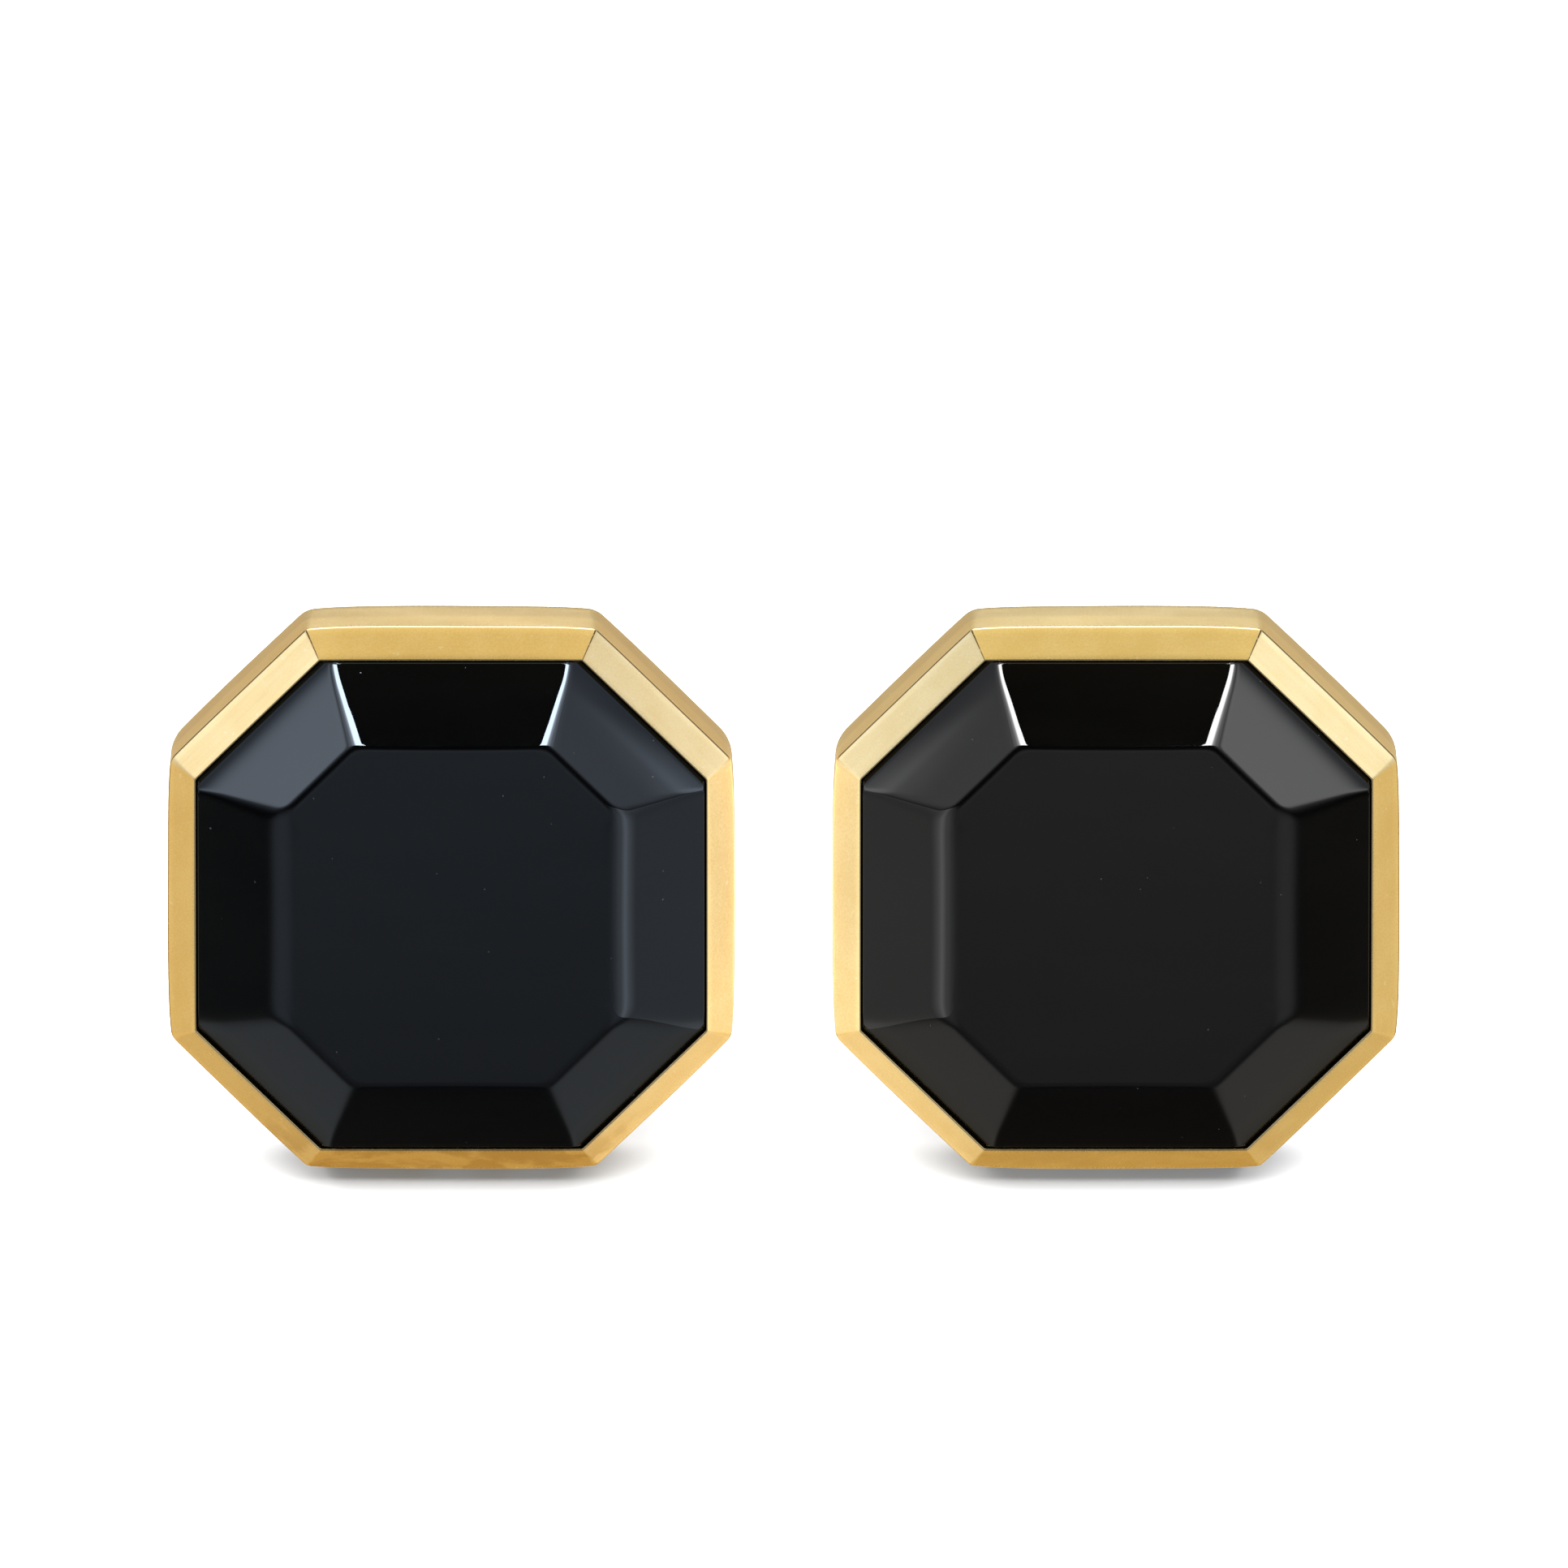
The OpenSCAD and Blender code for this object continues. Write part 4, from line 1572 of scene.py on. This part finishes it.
    def camera(self) -> None:
        """Stands the camera far off with a long lens, as steeply as the photograph was taken."""
        data = bpy.data.cameras.new("long_lens")
        data.sensor_width = self.sensor
        data.lens = self.sensor * self.distance / self.frame_mm
        data.clip_start, data.clip_end = self.clip
        eye = put_in_scene(data.name, data)
        up = math.radians(self.elevation)
        back = Vector((0.0, -math.cos(up), math.sin(up)))
        eye.location = (Vector(self.target) + back * self.distance) * MM
        eye.rotation_euler = (-back).to_track_quat("-Z", "Y").to_euler()
        bpy.context.scene.camera = eye

    def build(self) -> None:
        """Builds the studio."""
        bpy.context.scene.view_settings.view_transform = "Standard"
        self.tent()
        self.floor()
        self.overhead()
        for card in self.cards:
            card.hang()
        self.camera()
        LOG.info("studio ready")


@dataclass
class Stand:
    """How the cufflinks stand: the lean and lift that rest the rim and the shank's end on the floor."""

    head_w: float = 17.0
    rim_r: float = 0.3
    pair_gap: float = 2.92
    leg_out: float = 3.12
    leg_end: float = 14.9
    rivet_h: float = 0.22
    rivet_end: float = 13.95
    front: tuple[Span, ...] = ((-5.2, 4.43), (-7.64, 3.23), (-8.5, 2.45))

    def _lean_onto(self, out: float, back: float) -> float:
        """The lean that rests the rim and a point of the shank, so far out and back, on the floor."""
        fall, run = self.head_w / 2 - self.rim_r - out, self.rim_r + back
        return math.atan2(fall, run) + math.asin(self.rim_r / math.hypot(fall, run))

    def place(self, side: Side) -> Place:
        """The place of one cufflink.

        Args:
            side: Which one.

        Returns:
            Its place.
        """
        rests = ((self.leg_out, self.leg_end), (self.leg_out + self.rivet_h, self.rivet_end))
        lean = min(self._lean_onto(*rest) for rest in rests)
        s, c = math.sin(lean), math.cos(lean)
        lift = self.rim_r - ((self.rim_r - self.head_w / 2) * c + self.rim_r * s)
        reach = min(h * s - f * c for h, f in self.front) + (self.leg_out * s + self.leg_end * c)
        return Place(side, lean, ((self.head_w + self.pair_gap) / 2, -reach / 2, lift))


def main() -> None:
    """Builds the cufflinks and their studio."""
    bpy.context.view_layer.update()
    stand = Stand()
    for side in Side:
        place = stand.place(side)
        for part in (Head(place), Shank(place), Toggle(place)):
            part.build()
    Studio().build()


if __name__ == "__main__":
    logging.basicConfig(level=logging.INFO, format="%(message)s")
    main()
